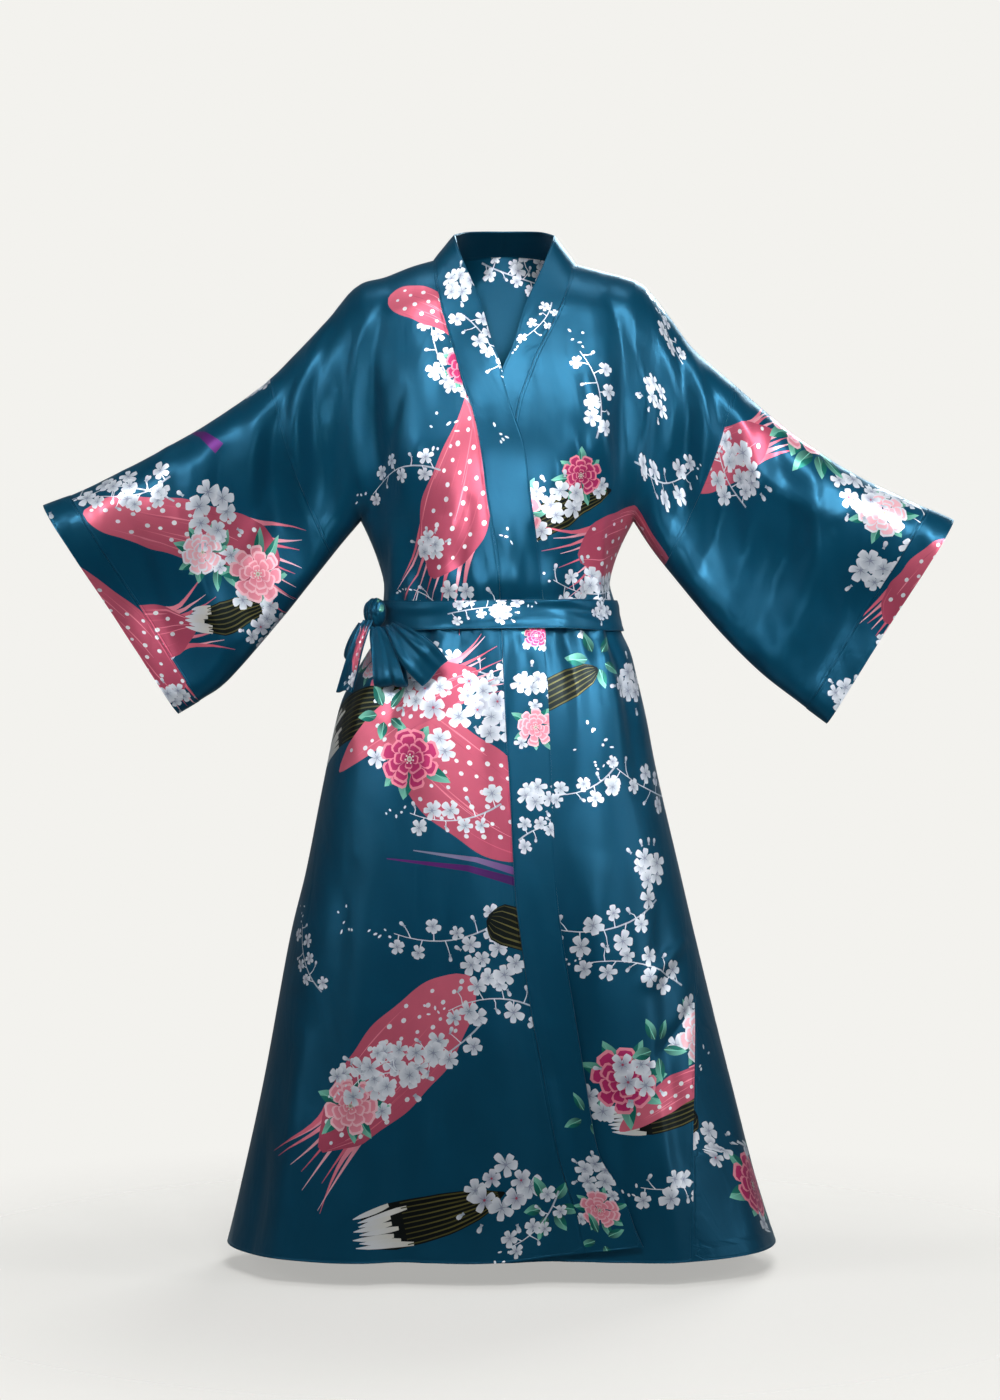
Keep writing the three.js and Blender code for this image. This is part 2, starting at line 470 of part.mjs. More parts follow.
// ---------------------------------------------------------------- neck band
const STAND_GAP = [0.45, 0.45, 0.6, 0.8, 0.8, 0.7, 0.6];   // share of the walls cleared at each standing station
function neckBand(s) {
  const over = s === 'L', table = over ? BAND_OVER : BAND_UNDER, stand = STAND[s];
  const zs = rowHeights(neckZ[s]), dir = over ? 1 : -1;
  const stations = [];
  const backStations = over ? [9, 8, 7] : [9, 10, 11];
  const neck = line(BACK_NECK, 10);
  backStations.forEach((j, i) => {
    const th = -Math.PI / 2 + Math.PI * j / BACK_COLUMNS, L = outerAt('L', 0), R = outerAt('R', 0);
    const x = (L[0] + R[0]) / 2 + (R[0] - L[0]) / 2 * Math.sin(th);
    const seam = place(x, zAt(neck, x), -1);
    const t = Math.abs(x) / 92 * 3, i0 = Math.min(2, Math.floor(t));
    const free = stand[i0].map((v, k) => mix(v, stand[i0 + 1][k], t - i0));
    if (i === 0) { seam.p[0] = x; free[0] = x; }
    stations.push({ seam, free });
  });
  zs.forEach((z, i) => {
    const seamX = i === 0 ? RIDGE[s][0][0] : drawn(table, 1, z);
    const lift = (x) => (over ? lapLift(x, z) : 0);
    const seam = place(seamX, z, 1, lift(seamX));
    if (over) seam.p[2] += hemRise(seamX, z);
    if (i < 5) stations.push({ seam, free: stand[3 + i].slice(), standing: true });
    else {
      const freeX = drawn(table, 2, z), midX = (seamX + freeX) / 2;
      const free = place(freeX, z, 1, lift(freeX)), mid = place(midX, z, 1, lift(midX));
      if (over) { free.p[2] += hemRise(freeX, z); mid.p[2] += hemRise(midX, z); }
      stations.push({ seam, mid, freeV: free });
    }
  });
  const n = stations.length, rows = [];
  for (let i = 0; i < n; i++) {
    const st = stations[i];
    if (st.freeV) {
      const seam = stepBack(st.seam, st.mid);
      rows.push([seam, st.mid, st.freeV]);
      continue;
    }
    const a = stations[Math.max(0, i - 1)].seam.p, b = stations[Math.min(n - 1, i + 1)].seam.p;
    const tangent = i === 0 ? [1, 0, 0] : unit(sub(b, a)), across = sub(st.free, st.seam.p);
    let m = unit(cross(tangent, across));
    if (dot(m, st.seam.n) < 0) m = m.map((v) => -v);
    const lean = Math.sqrt(Math.max(0, 1 - dot(m, st.seam.n) ** 2));
    const seam = { p: add(st.seam.p, unit(across), GAP + 0.4 + (BAND + CLOTH) * (STAND_GAP[i] ?? 0.7) * lean), n: m };
    rows.push([seam, { p: add(seam.p, sub(st.free, seam.p), 0.5), n: m }, { p: st.free, n: m }]);
  }
  // the last standing rows turn into the lying ones
  if (over) rows[0] = rows[0].map((v) => ({ ...v, p: add(v.p, [-GAP, 0, 0]) }));
  else rows[0] = rows[0].map((v) => ({ ...v, p: add(v.p, [GAP, 0, 0]) }));
  return strip(rows, BAND);
}

// ---------------------------------------------------------------- sash and its bow
function sash() {
  const n = 44, rows = [];
  for (const z of [SASH_TOP, (SASH_TOP + SASH_FOOT) / 2, SASH_FOOT]) {
    const xl = xAt(side.L, z), xr = xAt(side.R, z), xc = (xl + xr) / 2, hw = (xr - xl) / 2, row = [];
    for (let j = 0; j < n; j++) {
      const th = 2 * Math.PI * j / n, front = Math.cos(th) > 0, x = xc + hw * Math.sin(th);
      const face = front ? 1 : -1;
      const off = front ? mix(3.4, LAP_LIFT + 5.2, smooth(-150, -70, x) * (1 - smooth(70, 130, x))) : 3.4;
      row.push(place(clamp(x, xl, xr), z, face, off + (z === SASH_TOP ? 0.4 : 0)));
    }
    rows.push(row);
  }
  return strip(rows, SASH, true);
}
// a strip of sash cloth: stations [x, y, z, width, turn], turn swings the width about the run, degrees
function ribbon(stations, wall, out, cells = 2, bulge = 0) {
  const rows = stations.map((st, i) => {
    const p = st.slice(0, 3), a = stations[Math.max(0, i - 1)].slice(0, 3), b = stations[Math.min(stations.length - 1, i + 1)].slice(0, 3);
    const run = unit(sub(b, a)), r = (st[4] ?? 0) * Math.PI / 180;
    const flat = unit(cross([0, 0, -1], out)), w = unit([flat[0] * Math.cos(r), flat[1] * Math.cos(r), Math.sin(r)]);
    const m = unit(cross(w, run)), row = [];
    for (let j = 0; j <= cells; j++) {
      const c = j / cells - 0.5;
      row.push({ p: add(add(p, w, c * st[3]), m, bulge * (1 - 4 * c * c)), n: m });
    }
    return row;
  });
  return strip(rows, wall);
}
const KNOT = { x: -166, y: -45, z: -450, turn: 62 };
function knot() {
  // a wrapped lump of sash cloth: rings across its width
  const rows = [], n = 14, t = KNOT.turn * Math.PI / 180;
  const out = [-Math.sin(t), -Math.cos(t), 0], wide = [Math.cos(t), -Math.sin(t), 0];
  const table = [[-19, 0.62], [-12, 0.9], [-3, 1], [7, 1], [14, 0.86], [19, 0.6]];
  for (const [w, k] of table) {
    const row = [];
    for (let j = 0; j < n; j++) {
      const a = 2 * Math.PI * j / n;
      const q = add(add([KNOT.x, KNOT.y, KNOT.z], wide, w), out, 9.5 * k * Math.cos(a));
      q[2] += 17 * k * Math.sin(a);
      row.push(q);
    }
    rows.push(row);
  }
  return capped(rows);
}
// a solid lump through closed rings, its ends capped
function capped(rings) {
  const pos = [], tri = [], n = rings[0].length, r = rings.length;
  rings.forEach((row) => row.forEach((p) => pos.push(...p)));
  for (let i = 0; i < r - 1; i++) for (let j = 0; j < n; j++) {
    const k = (j + 1) % n, a = i * n + j, b = i * n + k, c = (i + 1) * n + k, d = (i + 1) * n + j;
    tri.push(a, b, c, a, c, d);
  }
  for (const [i, flip] of [[0, true], [r - 1, false]]) {
    const mid = [0, 1, 2].map((k) => rings[i].reduce((s, p) => s + p[k], 0) / n), at = pos.length / 3;
    pos.push(...mid);
    for (let j = 0; j < n; j++) { const a = i * n + j, b = i * n + (j + 1) % n; flip ? tri.push(at, b, a) : tri.push(at, a, b); }
  }
  let vol = 0;
  for (let i = 0; i < tri.length; i += 3) {
    const [a, b, c] = [0, 1, 2].map((k) => pos.slice(tri[i + k] * 3, tri[i + k] * 3 + 3));
    vol += dot(a, cross(b, c));
  }
  if (vol < 0) for (let i = 0; i < tri.length; i += 3) [tri[i], tri[i + 1]] = [tri[i + 1], tri[i]];
  const g = new THREE.BufferGeometry();
  g.setAttribute('position', new THREE.Float32BufferAttribute(pos, 3));
  g.setIndex(tri);
  g.computeVertexNormals();
  return g;
}
// bow pieces, [x, y, z, width, turn]
const LOOP_INNER = [
  [-162, -60, -469, 20], [-158, -68, -480, 30], [-152, -76, -497, 40], [-147, -84, -516, 46], [-144, -93, -532, 49], [-143, -99, -541, 50],
  [-143.5, -104, -545, 49], [-145, -108, -540, 48], [-148, -105, -526, 44], [-152, -94, -504, 36], [-157, -82, -484, 26], [-162, -69, -470, 16],
];
const LOOP_OUTER = [
  [-144, -80, -466, 16, -20], [-134, -98, -476, 28, -30], [-121, -113, -491, 42, -38], [-106, -124, -507, 50, -42], [-94, -128, -520, 50, -44], [-86, -130, -529, 48, -44],
];
const TAIL = [
  [-174, -54, -460, 18], [-182, -58, -478, 22], [-190, -60, -500, 26], [-197, -60, -524, 30], [-205, -60, -552, 32],
];
const LOOP_SIDE = [
  [-184, -30, -463, 18], [-192, -29, -477, 24], [-199, -26, -492, 28], [-202, -22, -504, 28], [-201, -16.5, -508, 27], [-198, -12, -500, 24], [-192, -13, -484, 20],
];

// ---------------------------------------------------------------- the robe
const satin = new THREE.MeshStandardMaterial({ color: '#1a4f66', roughness: 0.34, metalness: 0.0, side: THREE.DoubleSide });
const satinBand = new THREE.MeshStandardMaterial({ color: '#1c5670', roughness: 0.32, metalness: 0.0, side: THREE.DoubleSide });
const group = new THREE.Group();
group.name = 'kimono_robe';
function put(name, geometry, material) {
  const mesh = new THREE.Mesh(geometry, material);
  mesh.name = name;
  group.add(mesh);
}
put('back_panel', backPanel(), satin);
put('front_right_upper', frontPanel('L'), satin);
put('front_left_lower', frontPanel('R'), satin);
for (const [s, name] of [['L', 'right'], ['R', 'left']]) {
  const k = cuffShare(s);
  put(`sleeve_${name}`, tube(s, 0, k, SLEEVE_STATIONS, CLOTH, true, true), satin);
  put(`cuff_band_${name}`, tube(s, k, 1, [0, 1], BAND, true, false), satinBand);
  put(`neck_band_${name}`, neckBand(s), satinBand);
}
put('sash', sash(), satinBand);
put('sash_knot', knot(), satinBand);
put('sash_loop_inner', ribbon(LOOP_INNER, SASH, [-0.5, -0.86, 0]), satinBand);
put('sash_loop_outer', ribbon(LOOP_OUTER, SASH, [-0.33, -0.94, 0]), satinBand);
put('sash_tail', ribbon(TAIL, SASH, [-0.75, -0.66, 0]), satinBand);
put('sash_loop_side', ribbon(LOOP_SIDE, SASH, [-0.9, -0.4, 0]), satinBand);

export default group;
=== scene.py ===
"""Long satin wrap robe of kimono cut, worn form: printed panels, neck and cuff bands, sash with a bow."""

import math
import random

import bpy
import numpy as np
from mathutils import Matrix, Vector
from mathutils.geometry import delaunay_2d_cdt


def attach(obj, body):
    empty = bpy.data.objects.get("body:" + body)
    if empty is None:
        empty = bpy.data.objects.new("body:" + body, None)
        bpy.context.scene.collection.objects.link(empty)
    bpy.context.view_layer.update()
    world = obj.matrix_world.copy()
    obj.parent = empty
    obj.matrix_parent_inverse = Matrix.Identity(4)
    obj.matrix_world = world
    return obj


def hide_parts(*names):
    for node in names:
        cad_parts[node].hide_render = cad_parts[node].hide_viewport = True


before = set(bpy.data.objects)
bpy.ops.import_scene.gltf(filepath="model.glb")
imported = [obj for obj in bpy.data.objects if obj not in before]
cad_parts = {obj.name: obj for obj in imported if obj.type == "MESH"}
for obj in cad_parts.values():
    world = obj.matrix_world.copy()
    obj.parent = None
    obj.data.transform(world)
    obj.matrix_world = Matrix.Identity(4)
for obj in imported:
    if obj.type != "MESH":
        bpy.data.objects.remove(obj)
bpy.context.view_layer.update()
random.seed(7)

# ------------------------------------------------------------------ sizes, millimetres
CLOTH, BAND, SASH = 1.6, 2.6, 2.2
VIEW, VIEW_X, VIEW_Z = 4000.0, -4.0, -563.0
HEM_Z, ARMPIT_Z = -1269.0, -327.5
ARMPIT_X = {"L": -186.0, "R": 171.0}
SASH_TOP, SASH_FOOT = -434.0, -474.0
LAP_LIFT = 7.0
CUFF_WIDTH = 38.0
RIDGE = {
    "L": [[-90.4, 11.8], [-120, 3], [-154.6, -10.5], [-181, -17], [-197.8, -28], [-213, -46], [-230.6, -68], [-268, -107], [-310.5, -149], [-370.7, -192], [-424, -224], [-482, -255.5], [-556.8, -292], [-601.5, -309]],
    "R": [[94.3, 6.6], [130, -3], [160, -11], [180, -19], [196, -35], [220, -66], [250.2, -106], [310.5, -158], [349.8, -192], [389, -223], [449, -262], [500, -288], [551.5, -312], [589.5, -328]],
}
UNDER = {
    "L": [[-426, -580], [-393, -560], [-360, -535.8], [-297, -464], [-242.4, -396], [-212, -358], [-186, -327.5]],
    "R": [[424.5, -593], [389, -566], [336.7, -525.3], [281.7, -470], [221.4, -398], [194, -363], [171, -327.5]],
}
SIDE = {
    "L": [[-186, -327.5], [-176, -348], [-165, -375], [-156.5, -403], [-155, -418], [-156, -434], [-157, -455], [-159, -474], [-176, -500], [-198, -538], [-215, -579], [-236, -679], [-257, -786], [-279, -878], [-312, -1058], [-344, -1204], [-360, -1269]],
    "R": [[171, -327.5], [158, -352], [147, -378], [139.5, -405], [140, -418], [145, -434], [149, -455], [154, -474], [166, -500], [174, -532], [187, -588], [201, -660], [229, -780], [252, -878], [295, -1053], [329, -1184], [356, -1269]],
}
BACK_NECK = [[-90.4, 11.8], [-57, 22], [-29, 27], [0, 29], [31, 27], [60, 20], [94.3, 6.6]]
NECK_COLUMN = {"L": [[-90.4, 11.8], [-66, 40], [-40, 68], [0, 92]], "R": [[94.3, 6.6], [66, 40], [40, 68], [0, 92]]}
DEPTH = [
    [60, 44, 84], [20, 48, 84], [0, 54, 86], [-60, 72, 93], [-140, 100, 103], [-230, 117, 107], [-320, 111, 100], [-385, 104, 92],
    [-415, 101, 88], [-434, 93, 83], [-474, 94, 84], [-505, 103, 94], [-570, 114, 110], [-700, 122, 119],
    [-900, 136, 131], [-1100, 152, 146], [-1269, 166, 160], [-1340, 170, 165],
]
BAND_OVER = [
    [12, -90.4, -63], [-40, -83, -40], [-80, -72, -22], [-120, -60, -5], [-145, -54, 1], [-185, -40, 13], [-232, -30, 29], [-300, -21, 37],
    [-350, -12, 43], [-390, -6, 48], [-430, -4, 51], [-500, -1, 55], [-590, 3, 60], [-700, 9, 65], [-820, 15, 71], [-900, 25, 82],
    [-975, 36, 95], [-1060, 52, 109], [-1165, 73, 127], [-1210, 86, 149], [-1250, 99, 165], [-1276, 104, 173], [-1330, 120, 196],
]
BAND_UNDER = [
    [6, 94.3, 67], [-40, 79, 36], [-80, 60, 22], [-110, 44, 8], [-126, 38, 0], [-170, 22, -13], [-223, 13, -25], [-300, 6, -38],
    [-380, 3, -46], [-430, 1, -50], [-560, -3, -59], [-730, -10, -67], [-900, -25, -83], [-1040, -45, -102], [-1150, -71, -128],
    [-1230, -96, -155], [-1280, -111, -169], [-1330, -120, -180],
]
STAND = {
    "L": [[0, 53, 58], [-25, 48.5, 57.5], [-47, 33, 54.5], [-63, 4, 46.5], [-61, -15, 36], [-55, -32, 16], [-43, -51, -15], [-22, -74, -62]],
    "R": [[0, 53, 58], [26, 48.5, 57.5], [49, 33, 54.5], [66, 4, 45.5], [64, -15, 35], [57, -32, 14], [44, -51, -18], [22, -74, -66]],
}
# x0, z0, x1, z1, half width, depth, face
FOLDS = np.array([
    [-34, -560, -40, -1290, 62, 9, 1], [150, -560, 170, -1290, 66, 9, 1], [60, -620, 70, -1290, 48, -8, 1],
    [-165, -620, -205, -1290, 55, 7, 0], [-110, -760, -130, -1290, 40, -7, 1], [70, -560, 80, -1290, 60, 8, -1],
    [-60, -600, -80, -1290, 55, -8, -1], [-208, -60, -150, -345, 26, -8, 1], [196, -60, 140, -345, 26, -8, 1],
    [-205, -70, -150, -330, 26, -7, -1], [195, -70, 140, -330, 26, -7, -1], [-255, -120, -215, -350, 26, 6, 0],
    [250, -130, 205, -350, 26, 6, 0], [-330, -190, -290, -440, 30, -6, 0], [335, -200, 290, -450, 30, -6, 0],
    [-470, -270, -345, -520, 34, 6, 0], [470, -290, 345, -530, 34, 6, 0], [-545, -330, -400, -560, 30, -5, 0],
    [540, -350, 395, -570, 30, -5, 0],
], float)
SEAM_FORWARD = [[-700, 212], [-865, 249], [-960, 247], [-1060, 243], [-1160, 240], [-1269, 237]]
SEAM_TOP = {"L": [-302.6, -143.6], "R": [302.6, -152.0]}
SEAM_FOOT = {"L": [-224.0, -373.0], "R": [212.0, -386.0]}

# creases: x0, z0, bend x, bend z, x1, z1, half width, depth, face (1 front, -1 back, 0 both)
CREASES = np.array([
    # chest and shoulder, viewer's left
    [-150, -40, -172, -150, -158, -300, 13, -3.6, 1], [-168, -60, -196, -180, -176, -310, 11, 3.4, 1], [-120, -150, -150, -240, -160, -330, 12, -2.8, 1],
    [-100, -220, -125, -280, -140, -372, 12, 2.6, 1], [-60, -330, -80, -365, -86, -425, 12, 2.2, 1], [-40, -300, -52, -370, -50, -428, 11, -2.6, 1],
    [-112, -330, -116, -380, -112, -428, 9, -3.0, 1], [-134, -345, -140, -390, -136, -428, 8, 2.8, 1],
    # chest and shoulder, viewer's right
    [128, -40, 158, -130, 140, -300, 13, -3.8, 1], [150, -70, 182, -190, 158, -315, 11, 3.6, 1], [100, -140, 128, -240, 128, -350, 13, 3.4, 1],
    [84, -200, 104, -300, 106, -410, 12, -3.4, 1], [62, -230, 78, -330, 76, -424, 12, 2.6, 1], [120, -300, 124, -370, 116, -428, 8, 2.8, 1],
    [40, -330, 48, -380, 50, -428, 10, -2.2, 1], [92, -380, 94, -405, 92, -430, 7, 2.2, 1],
    # from the shoulder into the sleeves
    [-215, -70, -245, -180, -222, -330, 13, -4.2, 0], [-236, -100, -268, -220, -238, -370, 12, 3.8, 0], [-262, -130, -300, -260, -262, -400, 14, -4.0, 1],
    [-300, -170, -330, -300, -292, -440, 15, 3.6, 1], [-345, -210, -372, -330, -330, -480, 14, -3.0, 1], [-400, -240, -400, -380, -352, -500, 16, 3.2, 1],
    [-452, -262, -470, -380, -398, -540, 15, -3.0, 1], [-510, -290, -512, -400, -440, -540, 14, 2.6, 1], [-290, -280, -340, -360, -420, -420, 13, 2.2, 1],
    [208, -70, 238, -180, 206, -330, 13, -4.4, 0], [228, -100, 262, -220, 224, -370, 12, 4.0, 0], [256, -140, 292, -270, 248, -410, 14, -4.4, 1],
    [292, -180, 330, -300, 284, -450, 16, 4.4, 1], [340, -215, 372, -340, 322, -500, 15, -3.4, 1], [392, -250, 404, -380, 352, -520, 17, 3.6, 1],
    [446, -290, 462, -400, 398, -550, 15, -3.0, 1], [500, -310, 505, -420, 440, -560, 14, 2.8, 1], [300, -240, 372, -300, 452, -330, 12, 2.6, 1],
    [-310, -200, -340, -310, -300, -450, 15, -3.4, -1], [-390, -240, -400, -370, -350, -500, 16, 3.2, -1], [320, -210, 345, -320, 300, -460, 15, -3.4, -1],
    [400, -260, 410, -390, 352, -520, 16, 3.2, -1],
    # skirt, front
    [-70, -480, -96, -560, -110, -700, 13, 3.2, 1], [-100, -480, -140, -560, -168, -680, 14, -3.4, 1], [-24, -480, -30, -600, -24, -820, 16, -2.6, 1],
    [-130, -482, -176, -560, -196, -640, 11, 2.8, 1], [20, -478, 14, -560, 18, -650, 11, 2.2, 1], [84, -478, 96, -560, 104, -760, 15, -3.2, 1],
    [116, -478, 136, -540, 152, -660, 12, 3.0, 1], [134, -480, 160, -560, 176, -700, 9, -2.4, 1], [-60, -760, -76, -940, -70, -1200, 20, -3.4, 1],
    [-190, -760, -214, -920, -236, -1120, 20, -3.2, 1], [-20, -900, 4, -1060, 10, -1268, 16, 3.0, 1], [-250, -980, -266, -1120, -284, -1268, 16, 3.4, 1],
    [-150, -1000, -158, -1120, -170, -1268, 18, 3.2, 1], [120, -760, 118, -900, 124, -1100, 18, 3.0, 1], [196, -800, 210, -960, 222, -1180, 18, -3.4, 1],
    [236, -870, 205, -900, 176, -930, 9, 3.2, 1], [250, -930, 222, -990, 190, -1010, 10, -2.6, 1], [140, -1020, 150, -1140, 160, -1268, 16, -3.0, 1],
    [196, -1060, 206, -1160, 214, -1268, 14, 3.2, 1], [-90, -1080, -96, -1180, -102, -1268, 14, 2.6, 1], [286, -1000, 300, -1120, 318, -1268, 15, 3.4, 0],
    [60, -1040, 74, -1160, 84, -1268, 14, 2.6, 1], [-300, -1100, -312, -1190, -326, -1268, 13, -3.0, 0],
    # back
    [-90, -60, -120, -180, -118, -320, 16, 3.2, -1], [88, -70, 116, -190, 112, -330, 16, 3.0, -1], [-30, -120, -36, -260, -30, -420, 18, -2.6, -1],
    [40, -140, 46, -280, 42, -424, 16, 2.6, -1], [-80, -300, -84, -370, -82, -428, 10, -2.8, -1], [86, -310, 90, -370, 86, -428, 10, 2.8, -1],
    [-60, -480, -70, -600, -80, -820, 16, 3.2, -1], [30, -480, 34, -640, 40, -900, 18, -3.4, -1], [110, -482, 130, -600, 150, -840, 14, 3.2, -1],
    [-120, -482, -146, -620, -170, -860, 14, -3.2, -1], [-150, -860, -180, -1040, -210, -1268, 22, 4.0, -1], [-20, -840, -26, -1040, -34, -1268, 22, 4.2, -1],
    [120, -860, 140, -1060, 158, -1268, 22, -4.0, -1], [210, -900, 230, -1080, 252, -1268, 20, 4.0, -1], [-250, -980, -264, -1120, -284, -1268, 18, -3.8, -1],
], float)
# gathers pinched by the sash: x, reach above, reach below, half width, depth, face
GATHERS = np.array([
    [-146, 46, 70, 6, 2.2, 1], [-131, 60, 60, 5, -2.0, 1], [-118, 38, 84, 6, 2.0, 1], [-98, 66, 50, 6, -1.8, 1], [-80, 44, 70, 7, 1.8, 1], [-55, 70, 60, 6, -1.6, 1],
    [-30, 40, 52, 6, 1.6, 1], [-12, 50, 64, 6, -1.4, 1], [64, 52, 60, 5, 1.6, 1], [78, 66, 74, 6, -1.8, 1], [96, 44, 56, 5, 2.0, 1], [110, 62, 80, 5, -2.0, 1],
    [122, 48, 52, 5, 2.2, 1], [133, 56, 66, 4, -2.0, 1], [-140, 50, 60, 6, -2.2, -1], [-118, 64, 74, 6, 2.0, -1], [-92, 46, 58, 7, -2.0, -1], [-64, 70, 80, 7, 2.2, -1],
    [-36, 52, 62, 7, -2.0, -1], [-10, 60, 70, 7, 2.0, -1], [20, 48, 84, 7, -2.0, -1], [48, 66, 60, 7, 2.0, -1], [76, 50, 72, 6, -2.2, -1], [100, 64, 58, 6, 2.2, -1],
    [122, 46, 66, 5, -2.0, -1],
], float)


# ------------------------------------------------------------------ helpers
def smooth(a, b, v):
    t = np.clip((v - a) / (b - a), 0, 1)
    return t * t * (3 - 2 * t)


def mix(a, b, t):
    return a + (b - a) * t


def unit(v):
    return v / np.maximum(np.linalg.norm(v, axis=-1, keepdims=True), 1e-12)


def hermite(a, b, ma, mb, t):
    t2, t3 = t * t, t * t * t
    return (2 * t3 - 3 * t2 + 1) * a + (t3 - 2 * t2 + t) * ma + (-2 * t3 + 3 * t2) * b + (t3 - t2) * mb


class Table:
    """A smooth reading of a table by its first column."""

    def __init__(self, rows):
        t = np.array(rows, float)
        if t[0, 0] > t[-1, 0]:
            t = t[::-1]
        self.x, self.v = t[:, 0].copy(), t[:, 1:].copy()
        n = len(t)
        a, b = np.maximum(np.arange(n) - 1, 0), np.minimum(np.arange(n) + 1, n - 1)
        self.m = (self.v[b] - self.v[a]) / (self.x[b] - self.x[a])[:, None]

    def __call__(self, key, k):
        key = np.asarray(key, float)
        i = np.clip(np.searchsorted(self.x, key) - 1, 0, len(self.x) - 2)
        span = self.x[i + 1] - self.x[i]
        t = np.clip((key - self.x[i]) / span, 0, 1)
        return hermite(self.v[i, k], self.v[i + 1, k], self.m[i, k] * span, self.m[i + 1, k] * span, t)


depth_t = Table(DEPTH)
band_t = {"L": Table(BAND_OVER), "R": Table(BAND_UNDER)}
seam_t = Table(SEAM_FORWARD)


def line(points, steps=8):
    p = np.array(points, float)
    n, out = len(p), []
    for i in range(n - 1):
        p0, p1, p2, p3 = p[max(0, i - 1)], p[i], p[i + 1], p[min(n - 1, i + 2)]
        for s in range(steps):
            out.append(hermite(p1, p2, (p2 - p0) / 2, (p3 - p1) / 2, s / steps))
    out.append(p[-1])
    return np.array(out)


def lengthen(p, start, end):
    if start:
        p = np.vstack([p[0] + unit(p[0] - p[1]) * start, p])
    if end:
        p = np.vstack([p, p[-1] + unit(p[-1] - p[-2]) * end])
    return p


def along(pts, share):
    l = np.r_[0, np.cumsum(np.linalg.norm(np.diff(pts, axis=0), axis=1))]
    s = np.clip(share, 0, 1) * l[-1]
    return np.stack([np.interp(s, l, pts[:, 0]), np.interp(s, l, pts[:, 1])], -1)


def share_of(pts, p):
    l = np.r_[0, np.cumsum(np.linalg.norm(np.diff(pts, axis=0), axis=1))]
    q = np.linspace(0, 1, 4001)
    d = np.linalg.norm(along(pts, q) - np.array(p), axis=1)
    return q[d.argmin()]


def x_at(pts, z):
    o = np.argsort(pts[:, 1])
    return np.interp(z, pts[o, 1], pts[o, 0])


def z_at(pts, x):
    o = np.argsort(pts[:, 0])
    return np.interp(x, pts[o, 0], pts[o, 1])


ridge = {s: line(RIDGE[s]) for s in "LR"}
under = {s: line(UNDER[s]) for s in "LR"}
side = {s: line(SIDE[s]) for s in "LR"}
ridge_long = {s: lengthen(ridge[s], 0, 80) for s in "LR"}
back_top = {s: np.vstack([line(NECK_COLUMN[s], 6)[::-1], ridge_long[s][1:]]) for s in "LR"}
lower_edge = {s: np.vstack([lengthen(under[s], 80, 0), lengthen(side[s], 0, 80)[1:]]) for s in "LR"}
neck_line = line(BACK_NECK, 10)


def away(x, z, pts, sign):
    """Distance from a line, and the direction inwards from it."""
    a, b = pts[:-1], pts[1:]
    d = b - a
    l2 = (d**2).sum(1)
    best, gx, gz = np.empty(len(x)), np.empty(len(x)), np.empty(len(x))
    for s in range(0, len(x), 8192):
        px, pz = x[s : s + 8192, None], z[s : s + 8192, None]
        t = np.clip(((px - a[:, 0]) * d[:, 0] + (pz - a[:, 1]) * d[:, 1]) / l2, 0, 1)
        qx, qz = px - (a[:, 0] + d[:, 0] * t), pz - (a[:, 1] + d[:, 1] * t)
        r = qx**2 + qz**2
        k = r.argmin(1)
        i = np.arange(len(k))
        qx, qz, r = qx[i, k], qz[i, k], np.sqrt(r[i, k])
        nx, nz = -d[k, 1] * sign, d[k, 0] * sign
        l = np.hypot(nx, nz)
        nx, nz = nx / l, nz / l
        on = (r < 0.05) | ((r < 3) & (qx * nx + qz * nz < 0))
        best[s : s + 8192] = np.where(on, np.minimum(r, 0.0), r)
        gx[s : s + 8192] = np.where(on, nx, qx / np.maximum(r, 1e-9))
        gz[s : s + 8192] = np.where(on, nz, qz / np.maximum(r, 1e-9))
    return best, gx, gz


def by_side(x, z, lines):
    out = [np.empty(len(x)) for _ in range(3)]
    for m, s, sign in ((x < 0, "L", 1), (x >= 0, "R", -1)):
        if m.any():
            for o, v in zip(out, away(x[m], z[m], lines[s], sign)):
                o[m] = v
    return out


def full_round(e):
    return np.where(e >= 1, 1.0, np.sqrt(np.maximum(0, 1 - (1 - e) ** 2)))


def depth_parts(x, z, face):
    ax = np.abs(x)
    da, gax, gaz = by_side(x, z, ridge_long if face > 0 else back_top)
    db, gbx, gbz = by_side(x, z, lower_edge)
    sleeve = smooth(-74, 66, ax - 174 - 0.5 * np.maximum(0, ARMPIT_Z - z))
    cuffward = smooth(200, 600, ax)
    arm, thin = mix(54, 40, cuffward), mix(25, 15, cuffward)
    hs = mix(arm, thin, smooth(55, 185, da))
    h = mix(depth_t(z, 0 if face > 0 else 1), hs, sleeve)
    ra = mix(64, 46, smooth(100, 260, ax))
    rb = mix(np.where(z < ARMPIT_Z, mix(128, 150, smooth(-434, -1269, z)), 128), 30, sleeve)
    return h, da / ra, db / rb, ra, rb, (gax, gaz), (gbx, gbz)


def fold_height(x, z, face):
    total = np.zeros(len(x))
    for x0, z0, x1, z1, w, d, f in FOLDS:
        if f and f != face:
            continue
        dx, dz = x1 - x0, z1 - z0
        l2 = dx * dx + dz * dz
        t = ((x - x0) * dx + (z - z0) * dz) / l2
        off = ((x - x0) * dz - (z - z0) * dx) / math.sqrt(l2)
        fade = np.sin(np.minimum(t, 1) * math.pi / 2) if z1 < HEM_Z else np.sin(math.pi * np.clip(t, 0, 1))
        total += np.where((t > 0) & (t < 1.3), d * fade * np.exp(-((off / w) ** 2)), 0)
    return total


